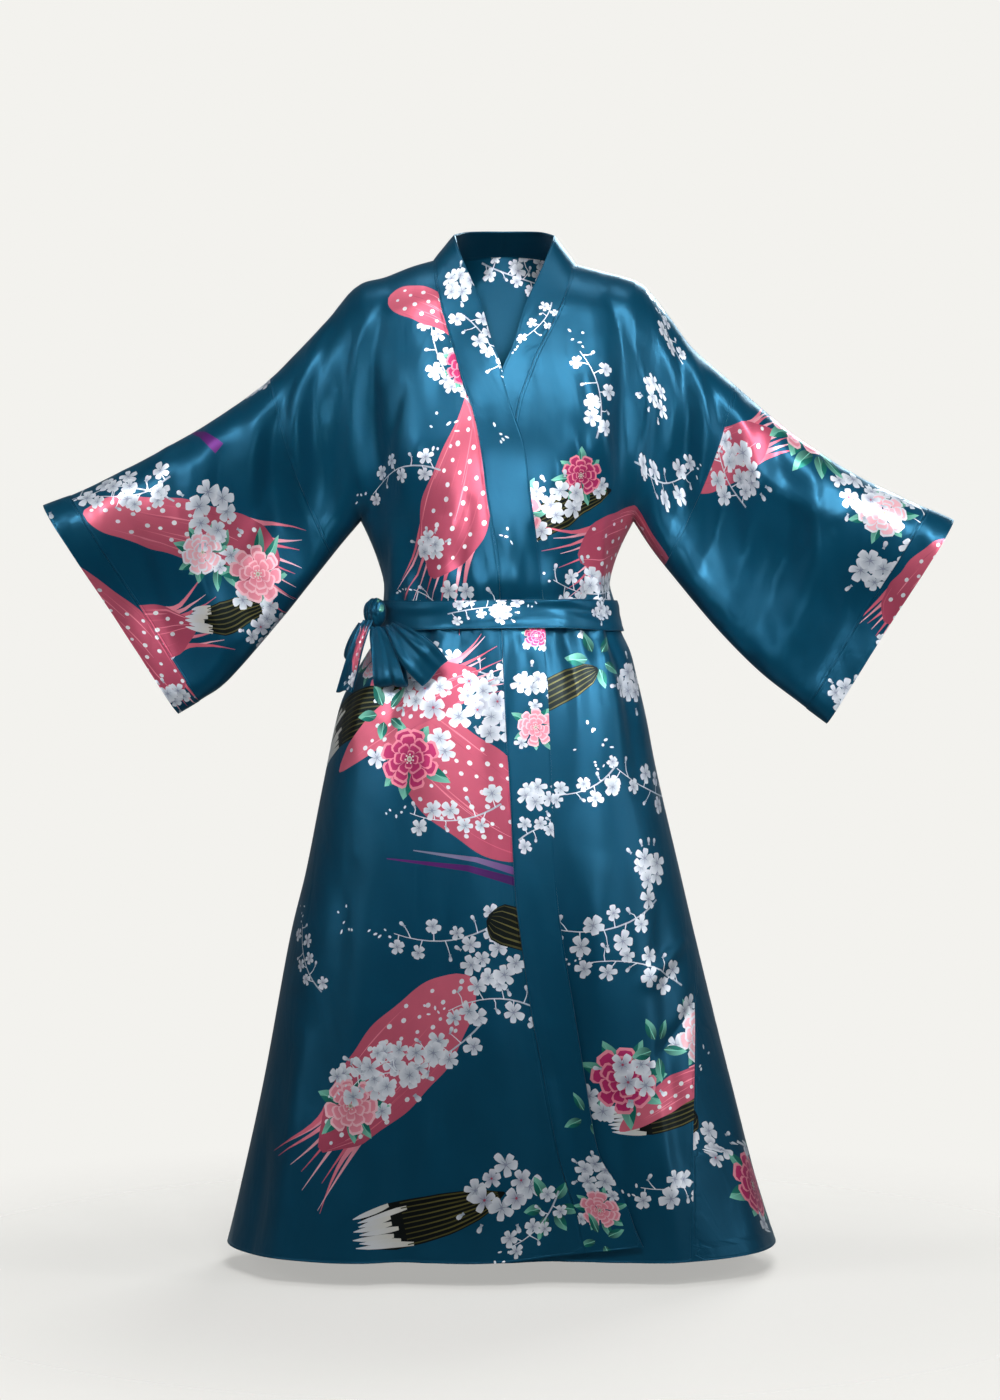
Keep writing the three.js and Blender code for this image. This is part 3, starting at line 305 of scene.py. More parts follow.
def surface(x, z, face):
    """Height of the cloth off y = 0, its outward normal and how far it is from an edge of the form, 0 to 1."""
    h, ea, eb, ra, rb, ga, gb = depth_parts(x, z, face)
    d = 2.0

    def height(a, b):
        return depth_parts(a, b, face)[0] + fold_height(a, b, face)

    h = h + fold_height(x, z, face)
    hx = (height(x + d, z) - height(x - d, z)) / (2 * d)
    hz = (height(x, z + d) - height(x, z - d)) / (2 * d)
    qa, qb = full_round(ea), full_round(eb)
    s = qa * qb
    ka = np.where(ea < 1, h * (1 - ea) * qb * qb / ra, 0)
    kb = np.where(eb < 1, h * (1 - eb) * qa * qa / rb, 0)
    n = unit(np.stack([-(s * s * hx + ka * ga[0] + kb * gb[0]), -face * s, -(s * s * hz + ka * ga[1] + kb * gb[1])], -1))
    return h * s, n, s


def crease_height(x, z, face, s):
    total = np.zeros(len(x))
    ts = np.linspace(0, 1, 13)
    for x0, z0, xm, zm, x1, z1, w, d, f in CREASES:
        if f and f != face:
            continue
        near = (x > min(x0, xm, x1) - 3 * w) & (x < max(x0, xm, x1) + 3 * w) & (z > min(z0, zm, z1) - 3 * w) & (z < max(z0, zm, z1) + 3 * w)
        if not near.any():
            continue
        px, pz = x[near], z[near]
        cx = (1 - ts) ** 2 * x0 + 2 * ts * (1 - ts) * (2 * xm - (x0 + x1) / 2) + ts**2 * x1
        cz = (1 - ts) ** 2 * z0 + 2 * ts * (1 - ts) * (2 * zm - (z0 + z1) / 2) + ts**2 * z1
        best, at = np.full(len(px), 1e9), np.zeros(len(px))
        for k in range(12):
            ax_, az_, bx, bz = cx[k], cz[k], cx[k + 1], cz[k + 1]
            dx, dz = bx - ax_, bz - az_
            t = np.clip(((px - ax_) * dx + (pz - az_) * dz) / (dx * dx + dz * dz), 0, 1)
            r = np.hypot(px - ax_ - dx * t, pz - az_ - dz * t)
            m = r < best
            best[m], at[m] = r[m], ((k + t) / 12)[m]
        ends = np.where(at > 0.5, (1.0 if z1 <= HEM_Z + 2 else 0.0), 0.0)
        fade = np.where(ends > 0, 1.0, np.sin(math.pi * at) ** 0.8)
        width = w * mix(0.75, 1.25, at)
        total[near] += d * fade * np.exp(-np.abs(best / width) ** 1.7)
    for gx, up, down, w, d, f in GATHERS:
        if f != face:
            continue
        mid = (SASH_TOP + SASH_FOOT) / 2
        far = np.where(z > mid, (z - SASH_TOP) / up, (SASH_FOOT - z) / down)
        fade = np.clip(1 - far, 0, 1) ** 1.5 * smooth(-0.5, 0.1, far)
        spread = 1 + np.clip(far, 0, 1) * 0.8
        lean = gx * (1 + np.clip(SASH_FOOT - z, 0, 200) * 0.0016)
        total += d * fade * np.exp(-(((x - lean) / (w * spread)) ** 2))
    # soft uneven ripples that hang down the cloth, more near the sash and under the arms
    ax = np.abs(x)
    near_sash = np.exp(-(((z + 454) / 95) ** 2)) * (ax < 200)
    near_arm = np.exp(-(((ax - 205) / 62) ** 2) - ((z + 250) / 150) ** 2)
    amount = 0.35 + 0.75 * near_sash + 1.15 * near_arm + 0.55 * smooth(230, 330, ax) * (z > -600)
    fan = x * (1 - 0.00045 * np.clip(-474 - z, 0, 800))
    ripple = 1.5 * np.sin(0.074 * fan + 1.5 * np.sin(0.0118 * z + 0.4 * face) + 0.9 * face) * np.sin(0.031 * fan - 0.013 * z + 2.1)
    ripple += 0.75 * np.sin(0.171 * fan + 1.9 * np.sin(0.0173 * z + 1.0) + 0.02 * z) * np.sin(0.047 * fan + 0.016 * z + 0.6)
    ripple += 0.4 * np.sin(0.33 * fan + 2.2 * np.sin(0.024 * z) + 1.3) * near_sash
    return (1.75 * total + 1.25 * amount * ripple) * smooth(0.0, 0.5, s)


def place(x, z, face, lift=0.0, creased=True):
    """Points of the cloth and their normals."""
    x, z = np.asarray(x, float).ravel(), np.asarray(z, float).ravel()
    y, n, s = surface(x, z, face)
    p = np.stack([x, -face * y, z], -1) + n * np.reshape(lift, (-1, 1))
    if creased:
        p = p + n * crease_height(x, z, face, s)[:, None]
    return p, n


def drawn(s, k, z):
    """x on the front at true height z of a line drawn from the front."""
    z = np.asarray(z, float)
    x = np.zeros(z.shape)
    for _ in range(4):
        h, ea, eb, *_r = depth_parts(x.ravel(), z.ravel(), 1)
        y = -((h + fold_height(x.ravel(), z.ravel(), 1)) * full_round(ea) * full_round(eb)).reshape(z.shape)
        f = (VIEW + y) / VIEW
        x = VIEW_X + (band_t[s](VIEW_Z + (z - VIEW_Z) / f, k) - VIEW_X) * f
    return x


def lap_lift(x, z):
    x, z = np.asarray(x, float), np.asarray(z, float)
    zs = np.linspace(-1340, -126, 180)
    edge = np.where(z > -126, 0, np.interp(z, zs, LAP_EDGE))
    return LAP_LIFT * smooth(-58, -112, z) * smooth(edge - 78, edge - 16, x)


LAP_EDGE = drawn("R", 1, np.linspace(-1340, -126, 180))


def hem_rise(x, z):
    return 26 * smooth(-40, 260, x) * smooth(-1000, HEM_Z, z)


seam_share = {s: (share_of(ridge[s], SEAM_TOP[s]), share_of(under[s], SEAM_FOOT[s])) for s in "LR"}
neck_z = {s: RIDGE[s][0][1] for s in "LR"}


def ridge_top(s, x):
    return np.where(np.abs(x) <= abs(RIDGE[s][0][0]), neck_z[s], z_at(ridge[s], x))


# ------------------------------------------------------------------ patches
class Patch:
    """A sheet of cloth on a grid: places, normals and a flat chart in millimetres, u to the viewer's right and v down."""

    def __init__(self, P, row, col, first=None, swap=False):
        self.P = P
        R, C = P.shape[:2]
        self.first = np.zeros(R, int) if first is None else first
        self.last = np.full(R, C - 1)
        self.row, self.col, self.swap = row, col, swap
        self.N = self.normals()
        self.flat = [float(np.ptp(row)), float(max(np.ptp(col[r, self.first[r] :]) for r in range(R)))]

    def normals(self):
        P = self.P
        dr = np.gradient(P, axis=0)
        dc = np.gradient(P, axis=1)
        n = np.cross(dr, dc)
        return unit(n)

    def face_out(self, outward):
        """Turns the normals to the side of `outward`, a set of rough normals."""
        flip = (self.N * outward).sum(-1) < 0
        self.N[flip] *= -1
        return self

    def chart(self, r, c):
        u, v = self.col[r, c], self.row[r]
        return (v, u) if self.swap else (u, v)

    def spot(self, u, v):
        """Fractional row and column of chart points."""
        a, b = (v, u) if self.swap else (u, v)  # a along columns, b along rows
        rb = np.interp(b, self.row, np.arange(len(self.row)))
        r0 = np.clip(rb.astype(int), 0, len(self.row) - 2)
        f = rb - r0
        order = np.argsort(r0, kind="stable")
        cuts = np.flatnonzero(np.diff(r0[order])) + 1
        out = np.zeros(len(a))
        for block in np.split(order, cuts):
            if not len(block):
                continue
            r = r0[block[0]]
            c0, c1 = self.col[r], self.col[r + 1]
            n = np.arange(len(c0))
            if c0[-1] > c0[0]:
                x0, x1 = np.interp(a[block], c0, n), np.interp(a[block], c1, n)
            else:
                x0, x1 = np.interp(a[block], c0[::-1], n[::-1]), np.interp(a[block], c1[::-1], n[::-1])
            out[block] = mix(x0, x1, f[block])
        return rb, out

    def lift(self, u, v):
        rb, cb = self.spot(u, v)
        r, c = np.clip(rb.astype(int), 0, self.P.shape[0] - 2), np.clip(cb.astype(int), 0, self.P.shape[1] - 2)
        f, g = (rb - r)[:, None], (cb - c)[:, None]

        def at(A):
            return (A[r, c] * (1 - f) * (1 - g) + A[r + 1, c] * f * (1 - g) + A[r, c + 1] * (1 - f) * g + A[r + 1, c + 1] * f * g)

        return at(self.P), unit(at(self.N))

    def loop(self):
        R, C = self.P.shape[:2]
        out = [(0, c) for c in range(self.first[0], C)] + [(r, C - 1) for r in range(1, R)]
        out += [(R - 1, c) for c in range(C - 2, self.first[R - 1] - 1, -1)]
        for r in range(R - 2, 0, -1):
            a, b = self.first[r + 1], self.first[r]
            if b < a:
                out += [(r, c) for c in range(a, b - 1, -1)]
            else:
                out.append((r, b))
        return out

    def at_px(self, px, py):
        """The chart point seen at a picture point."""
        P = self.P
        f = VIEW / (VIEW + P[..., 1])
        qx = 500 + (P[..., 0] - VIEW_X) / 1.31 * f
        qy = 700 - (P[..., 2] - VIEW_Z) / 1.31 * f
        d = (qx - px) ** 2 + (qy - py) ** 2 + np.where(self.N[..., 1] < 0.05, 0, 1e6)
        for r in range(len(self.row)):
            d[r, : self.first[r]] = 1e12
        r, c = np.unravel_index(d.argmin(), d.shape)
        u, v = self.chart(r, c)
        return float(u + (px - qx[r, c]) * 1.31), float(v + (py - qy[r, c]) * 1.31)


def arc(P):
    return np.concatenate([np.zeros(P.shape[:-2] + (1,)), np.cumsum(np.linalg.norm(np.diff(P, axis=-2), axis=-1), -1)], -1)


UP_N, LOW_N, SHOULDER_N, FRONT_N, BACK_N = 46, 124, 16, 46, 64
upper_f = (1 - np.cos(np.linspace(0, math.pi, UP_N + 1))) / 2
lower_z = np.linspace(ARMPIT_Z, HEM_Z, LOW_N + 1)[1:]
rows_f = np.r_[upper_f, np.ones(LOW_N)]


def shoulder_points(s, u, f):
    """Shoulder block from the sleeve seam, u = 0, to the armpit line, u = 1."""
    xa = ARMPIT_X[s]
    sa = share_of(ridge[s], [xa, float(z_at(ridge[s], xa))])
    top, foot = along(ridge[s], mix(seam_share[s][0], sa, u)), along(under[s], mix(seam_share[s][1], 1, u))
    bulge = 9 * np.sin(math.pi * f) * (1 - u) * (-1 if s == "L" else 1)
    return mix(top[..., 0], foot[..., 0], f) + bulge, mix(top[..., 1], foot[..., 1], f)


def outer_line(s):
    xa = ARMPIT_X[s]
    za = float(z_at(ridge[s], xa))
    x = np.r_[np.full(UP_N + 1, xa), x_at(side[s], lower_z)]
    z = np.r_[mix(za, ARMPIT_Z, upper_f), lower_z]
    return x, z


def front_patch(s):
    over = s == "L"
    ox, oz = outer_line(s)
    if not over:
        ox = np.where(oz < -865, np.minimum(ox, seam_t(oz, 0)), ox)
    iz = np.r_[mix(neck_z[s], ARMPIT_Z, upper_f), lower_z]
    ix = drawn(s, 0, iz)
    ix[0] = RIDGE[s][0][0]
    j = np.linspace(0, 1, FRONT_N + 1)
    c = 1 - np.cos(math.pi / 2 * j)
    w = (smooth(-900, -1200, oz) * 0.5)[:, None] if not over else np.zeros((len(oz), 1))
    x = mix(ox[:, None], ix[:, None], mix(c, j, w))
    z = mix(oz[:, None], iz[:, None], c[None, :])
    straight = mix(float(z_at(ridge[s], ARMPIT_X[s])), neck_z[s], c)[None, :]
    top = ridge_top(s, x)
    arch = (top - straight) * ((1 - rows_f) ** 2)[:, None]
    z[: UP_N + 1] += arch[: UP_N + 1]
    z[0] = ridge_top(s, x[0])
    sx, sz = np.full((len(oz), SHOULDER_N), 0.0), np.full((len(oz), SHOULDER_N), 0.0)
    u = np.linspace(0, 1, SHOULDER_N + 1)[:-1]
    for i in range(UP_N + 1):
        sx[i], sz[i] = shoulder_points(s, u, upper_f[i])
    sx[UP_N + 1 :], sz[UP_N + 1 :] = x[UP_N + 1 :, :1], z[UP_N + 1 :, :1]
    x, z = np.hstack([sx, x]), np.hstack([sz, z])
    shape = x.shape
    lift = lap_lift(x, z).ravel() if over else 0.0
    P, rough = place(x, z, 1, lift)
    P, rough = P.reshape(*shape, 3), rough.reshape(*shape, 3)
    if over:
        P[..., 2] += hem_rise(x, z)
    first = np.where(np.arange(len(oz)) > UP_N, SHOULDER_N, 0)
    a = arc(P)
    col = (a - a[:, -1:]) * (1 if over else -1) + ix[:, None]
    for r in range(UP_N + 1, len(oz)):
        step = col[r, SHOULDER_N] - col[r, SHOULDER_N + 1]
        col[r, :SHOULDER_N] = col[r, SHOULDER_N] + step * 3 * np.arange(SHOULDER_N, 0, -1)
    ref = SHOULDER_N + int(FRONT_N * 0.7)
    row = arc(P[:, ref])
    row = row - row[UP_N] - ARMPIT_Z
    return Patch(P, row, col, first).face_out(rough)


def back_patch():
    lx, lz = outer_line("L")
    rx, rz = outer_line("R")
    xc, hw = (lx + rx) / 2, (rx - lx) / 2
    reach = np.where(lz < -860, math.pi / 2 - np.arcsin(np.clip((seam_t(lz, 0) - xc) / hw, 0, 1)), 0)
    reach = reach * smooth(-858, -880, lz)
    j = np.linspace(0, 1, BACK_N + 1)
    th = -math.pi / 2 + (math.pi + reach[:, None]) * j
    x = xc[:, None] + hw[:, None] * np.sin(th)
    z = np.repeat(lz[:, None], BACK_N + 1, 1)
    up = slice(0, UP_N + 1)
    tops = np.where(x[up] <= BACK_NECK[0][0], z_at(ridge["L"], x[up]), np.where(x[up] >= BACK_NECK[-1][0], z_at(ridge["R"], x[up]), z_at(neck_line, x[up])))
    z[up] = mix(tops, ARMPIT_Z, upper_f[:, None])
    z[: UP_N + 1, 0], z[: UP_N + 1, -1] = lz[up], rz[up]
    front = th > math.pi / 2 + 1e-6
    u = np.linspace(0, 1, SHOULDER_N + 1)[:-1]
    rows = len(lz)
    sides = {}
    for s in "LR":
        sx, sz = np.zeros((rows, SHOULDER_N)), np.zeros((rows, SHOULDER_N))
        for i in range(UP_N + 1):
            sx[i], sz[i] = shoulder_points(s, u, upper_f[i])
        edge = 0 if s == "L" else -1
        sx[UP_N + 1 :], sz[UP_N + 1 :] = x[UP_N + 1 :, edge][:, None], z[UP_N + 1 :, edge][:, None]
        sides[s] = (sx, sz)
    X = np.hstack([sides["L"][0], x, sides["R"][0][:, ::-1]])
    Z = np.hstack([sides["L"][1], z, sides["R"][1][:, ::-1]])
    F = np.hstack([np.zeros((rows, SHOULDER_N), bool), front, np.repeat(front[:, -1:], SHOULDER_N, 1)])
    P, rough = np.zeros(X.shape + (3,)), np.zeros(X.shape + (3,))
    for m, face in ((~F, -1), (F, 1)):
        P[m], rough[m] = place(X[m], Z[m], face)
    return X, Z, P, rough


class BackPatch(Patch):
    """The back has missing corners on both sides."""

    def loop(self):
        R, C = self.P.shape[:2]
        s = SHOULDER_N
        out = [(0, c) for c in range(C)] + [(r, C - 1) for r in range(1, UP_N + 1)]
        out += [(UP_N, c) for c in range(C - 2, C - 2 - s, -1)]
        out += [(r, C - 1 - s) for r in range(UP_N + 1, R)]
        out += [(R - 1, c) for c in range(C - 2 - s, s - 1, -1)]
        out += [(r, s) for r in range(R - 2, UP_N - 1, -1)]
        out += [(UP_N, c) for c in range(s - 1, -1, -1)]
        out += [(r, 0) for r in range(UP_N - 1, 0, -1)]
        return out

    def keep(self, r, c):
        return (r <= UP_N) | ((c >= SHOULDER_N) & (c <= self.P.shape[1] - 1 - SHOULDER_N))


def make_back():
    X, Z, P, rough = back_patch()
    rows, C = X.shape
    a = arc(P)
    mid = np.array([np.interp(0.0, X[r], a[r]) if np.all(np.diff(X[r]) > 0) else a[r, C // 2] for r in range(rows)])
    mid[UP_N + 1 :] = [a[r, SHOULDER_N : C - SHOULDER_N][np.argmin(np.abs(X[r, SHOULDER_N : C - SHOULDER_N][: BACK_N // 2 + 20]))] for r in range(UP_N + 1, rows)]
    col = a - mid[:, None]
    s = SHOULDER_N
    for r in range(UP_N + 1, rows):
        col[r, :s] = col[r, s] - 6.0 * np.arange(s, 0, -1)
        col[r, C - s :] = col[r, C - s - 1] + 6.0 * np.arange(1, s + 1)
    ref = s + BACK_N // 2
    row = arc(P[:, ref])
    row = row - row[UP_N] - ARMPIT_Z
    patch = BackPatch(P, row, col)
    return patch.face_out(rough)


def ring(s, k, t):
    a, b = along(ridge[s], mix(seam_share[s][0], 1, k)), along(under[s], mix(seam_share[s][1], 0, k))
    bulge = 9 * np.sin(math.pi * t) * (1 - smooth(0, 0.5, k)) * (-1 if s == "L" else 1)
    return mix(a[..., 0], b[..., 0], t) + bulge, mix(a[..., 1], b[..., 1], t)


def cuff_share(s):
    a, b = along(ridge[s], 1.0), along(ridge[s], seam_share[s][0])
    return 1 - CUFF_WIDTH / float(np.hypot(*(a - b)))


def sleeve_patch(s, k0, k1, rows, around, lift=0.0):
    ks = np.linspace(k0, k1, rows)
    t = (1 - np.cos(np.linspace(0, math.pi, around + 1))) / 2
    parts, roughs = [], []
    for face, tt in ((-1, t[::-1]), (1, t[1:])):
        K, T = np.meshgrid(ks, tt, indexing="ij")
        x, z = ring(s, K, T)
        p, n = place(x, z, face, lift)
        parts.append(p.reshape(*K.shape, 3))
        roughs.append(n.reshape(*K.shape, 3))
    P, rough = np.concatenate(parts, 1), np.concatenate(roughs, 1)
    # the underarm seam stands a hair open
    P[:, 0, 1] += 0.15
    P[:, -1, 1] -= 0.15
    a = arc(P)
    col = a - a[:, around : around + 1]
    top = P[:, around]
    low = P[:, -1]
    run = (np.r_[0, np.cumsum(np.linalg.norm(np.diff(top, axis=0), axis=1))] + np.r_[0, np.cumsum(np.linalg.norm(np.diff(low, axis=0), axis=1))]) / 2
    if s == "L":
        P, rough, col, run = P[::-1], rough[::-1], col[::-1], -run[::-1]
    return Patch(P, run, col, swap=True).face_out(rough)


# ------------------------------------------------------------------ colours and print
def lin(hexed):
    v = [int(hexed[i : i + 2], 16) / 255 for i in (1, 3, 5)]
    return np.array([x / 12.92 if x <= 0.04045 else ((x + 0.055) / 1.055) ** 2.4 for x in v])


TEAL = lin("#044763")
INKS = {
    "white": lin("#e4e9f1"), "grey": lin("#aab6c4"), "lilac": lin("#8f94ac"), "pink": lin("#d8697f"), "rose": lin("#ef97a8"), "deep": lin("#b14a63"),
    "magenta": lin("#c8336f"), "berry": lin("#7c1446"), "blush": lin("#f6c6d0"), "leaf": lin("#1f8272"), "mint": lin("#7fcdb6"), "moss": lin("#0a3d3c"),
    "olive": lin("#4d4a26"), "gold": lin("#6f6a38"), "dark": lin("#0b0b08"), "cream": lin("#dcdad0"), "purple": lin("#6a2a7c"), "violet": lin("#3b1550"),
    "ink": lin("#10202a"), "teal": TEAL,
}


def ellipse(cx, cy, rx, ry, n=10, turn=0.0):
    a = np.linspace(0, 2 * math.pi, n, endpoint=False)
    x, y = rx * np.cos(a), ry * np.sin(a)
    c, s = math.cos(turn), math.sin(turn)
    return np.stack([cx + x * c - y * s, cy + x * s + y * c], 1)


def turned(p, deg, scale=1.0, at=(0, 0)):
    c, s = math.cos(math.radians(deg)) * scale, math.sin(math.radians(deg)) * scale
    p = np.asarray(p, float)
    return np.stack([p[:, 0] * c - p[:, 1] * s + at[0], p[:, 0] * s + p[:, 1] * c + at[1]], 1)


def petal(length, width, notch=0.12, n=13):
    a = np.linspace(0, 2 * math.pi, n, endpoint=False)
    y = length * (0.5 - 0.5 * np.cos(a))
    x = width / 2 * np.sin(a) * (0.42 + 0.72 * y / length)
    y = y - notch * length * np.exp(-((x / (0.16 * width)) ** 2)) * (y > 0.75 * length)
    return np.stack([x, y], 1)


class Ink:
    """A list of outlines with their fills, drawn from the first to the last, y up."""

    def __init__(self):
        self.items = []

    def add(self, poly, c0, c1=None, centre=None, reach=None, along_dir=None):
        poly = np.asarray(poly, float)
        c0 = INKS[c0] if isinstance(c0, str) else c0
        c1 = c0 if c1 is None else (INKS[c1] if isinstance(c1, str) else c1)
        centre = poly.mean(0) if centre is None else np.asarray(centre, float)
        reach = reach or max(1e-3, np.linalg.norm(poly - centre, axis=1).max())
        self.items.append((poly, c0, c1, centre, reach, along_dir))

    def put(self, other, at=(0, 0), deg=0.0, scale=1.0, flip=False):
        for poly, c0, c1, centre, reach, d in other.items:
            m = np.array([-1, 1]) if flip else np.array([1, 1])
            p = turned(poly * m, deg, scale, at)
            q = turned(centre[None] * m, deg, scale, at)[0]
            dd = None if d is None else tuple(turned(np.array([d]) * m, deg)[0])
            self.items.append((p, c0, c1, q, reach * scale, dd))
        return self


def blossom(r=11.0, seed=0, tone=0):
    g, rnd = Ink(), random.Random(seed)
    for k in range(5):
        w = r * rnd.uniform(0.62, 0.9)
        g.add(turned(petal(r * rnd.uniform(0.85, 1.12), w, rnd.uniform(0.08, 0.2)), 72 * k + rnd.uniform(-9, 9)), "lilac" if tone else "grey", "white", (0, 0), r * 0.8)
    for k in range(6):
        a = math.radians(60 * k + rnd.uniform(-10, 10))
        d = np.array([math.cos(a), math.sin(a)])
        m = np.array([-d[1], d[0]]) * 0.035 * r
        g.add([d * 0.08 * r - m, d * 0.08 * r + m, d * 0.5 * r], "lilac")
    g.add(ellipse(0, 0, 0.11 * r, 0.11 * r, 6), "deep" if tone else "lilac")
    return g


def bud(r=5.0):
    g = Ink()
    g.add(petal(r * 1.5, r * 1.05, 0.0, 10), "grey", "white", (0, 0), r * 1.5)
    g.add([(-0.3 * r, -0.2 * r), (0.3 * r, -0.2 * r), (0.12 * r, 0.5 * r), (-0.12 * r, 0.5 * r)], "grey")
    return g


def strand(pts, widths, c0, c1=None, g=None):
    """A tapering line."""
    g = g or Ink()
    p = np.asarray(pts, float)
    t = unit(np.gradient(p, axis=0))
    n = np.stack([-t[:, 1], t[:, 0]], 1)
    w = np.asarray(widths, float)[:, None] / 2
    g.add(np.vstack([p + n * w, (p - n * w)[::-1]]), c0, c1, p[0], np.linalg.norm(p[-1] - p[0]))
    return g


def bez(p0, p1, p2, n=9):
    t = np.linspace(0, 1, n)[:, None]
    p0, p1, p2 = (np.asarray(p, float) for p in (p0, p1, p2))
    return (1 - t) ** 2 * p0 + 2 * t * (1 - t) * p1 + t**2 * p2


def sprig(length=110.0, bend=18.0, seed=1, flowers=5, size=10.0):
    """A twig of white blossom along +x."""
    g, rnd = Ink(), random.Random(seed)
    path = bez((0, 0), (length / 2, bend * 2), (length, rnd.uniform(-6, 6)), 11)
    strand(path, np.linspace(1.9, 0.7, 11), "grey", "white", g)
    n = flowers + 4
    for k in range(n):
        t = (k + 0.6) / n
        i = min(9, int(t * 10))
        p = path[i] + (path[i + 1] - path[i]) * (t * 10 - i)
        sidew = 1 if k % 2 else -1
        reach = rnd.uniform(0.5, 1.5) * size
        q = p + np.array([rnd.uniform(-0.3, 0.8) * size, sidew * reach])
        strand([p, (p + q) / 2 + rnd.uniform(-1, 1), q], [1.1, 0.9, 0.6], "white", None, g)
        if k % 3 == 2:
            g.put(bud(size * 0.42), q, rnd.uniform(-60, 60) + (0 if sidew > 0 else 180))
        else:
            g.put(blossom(size * rnd.uniform(0.78, 1.12), seed * 31 + k), q, rnd.uniform(0, 72))
    for k in range(5):
        p = path[-1] + np.array([4 + 5 * k + rnd.uniform(-1, 1), rnd.uniform(-7, 7)])
        g.add(ellipse(*p, rnd.uniform(1.3, 2.4), rnd.uniform(0.9, 1.4), 7, rnd.uniform(0, 3)), "white")
    return g


def spray(seed=3, n=7, spread=18.0):
    g, rnd = Ink(), random.Random(seed)
    for _ in range(n):
        a, r = rnd.uniform(0, 6.28), spread * math.sqrt(rnd.uniform(0.05, 1))
        g.add(ellipse(r * math.cos(a), r * math.sin(a), rnd.uniform(1.4, 3.0), rnd.uniform(0.9, 1.5), 7, a), "white")
    return g


def bunch(seed=5, n=6, spread=24.0, size=12.0, tone=0):
    """Crowded white blossoms."""
    g, rnd = Ink(), random.Random(seed)
    for k in range(n):
        a = 6.28 * k / n + rnd.uniform(-0.3, 0.3)
        p = (spread * math.cos(a) * rnd.uniform(0.35, 1), spread * 0.75 * math.sin(a) * rnd.uniform(0.35, 1))
        g.put(blossom(size * rnd.uniform(0.85, 1.15), seed * 17 + k, tone if k % 2 else 0), p, rnd.uniform(0, 72))
    for k in range(4):
        a = rnd.uniform(0, 6.28)
        p = (spread * 1.4 * math.cos(a), spread * 1.1 * math.sin(a))
        g.put(bud(size * 0.42), p, math.degrees(a) - 90)
    return g


def leaf(length=30.0, width=13.0, c0="moss", c1="mint"):
    g = Ink()
    t = np.linspace(0, 1, 8)
    w = width / 2 * np.sin(math.pi * t**0.8) ** 0.9
    up = np.stack([t * length, w], 1)
    dn = np.stack([t * length, -w], 1)
    g.add(np.vstack([up, dn[::-1][1:-1]]), c0, c1, (length * 0.1, 0), length * 0.9)
    g.add(np.vstack([up[1:-1], [[length * 0.55, 0]]]), "leaf", c0, (length, 0), length)
    strand([(1, 0), (length * 0.5, 0.2), (length * 0.94, 0)], [0.9, 0.7, 0.3], "mint", None, g)
    return g


def peony(r=28.0, seed=2, light="blush", mid="pink", deep="magenta"):
    g, rnd = Ink(), random.Random(seed)
    for ring_k, (count, reach, size) in enumerate(((8, 0.46, 0.66), (7, 0.28, 0.58), (6, 0.12, 0.46), (4, 0.02, 0.32))):
        for k in range(count):
            a = 360 * k / count + ring_k * 21 + rnd.uniform(-8, 8)
            L, W = r * size * rnd.uniform(0.9, 1.1), r * size * rnd.uniform(0.95, 1.25)
            base = turned(petal(L, W, 0.07, 12), a, 1, turned([[0, r * reach]], a)[0])
            g.add(base, mid if ring_k < 2 else deep, light, (0, 0), r * (reach + size))
            inner = turned(petal(L * 0.84, W * 0.8, 0.05, 10), a, 1, turned([[0, r * reach]], a)[0])
            g.add(inner, deep, mid, (0, 0), r * (reach + size))
    g.add(ellipse(0, 0, r * 0.1, r * 0.1, 8), "gold", "cream")
    for k in range(7):
        g.add(ellipse(r * 0.15 * math.cos(k * 0.9), r * 0.15 * math.sin(k * 0.9), r * 0.035, r * 0.035, 5), "cream")
    return g


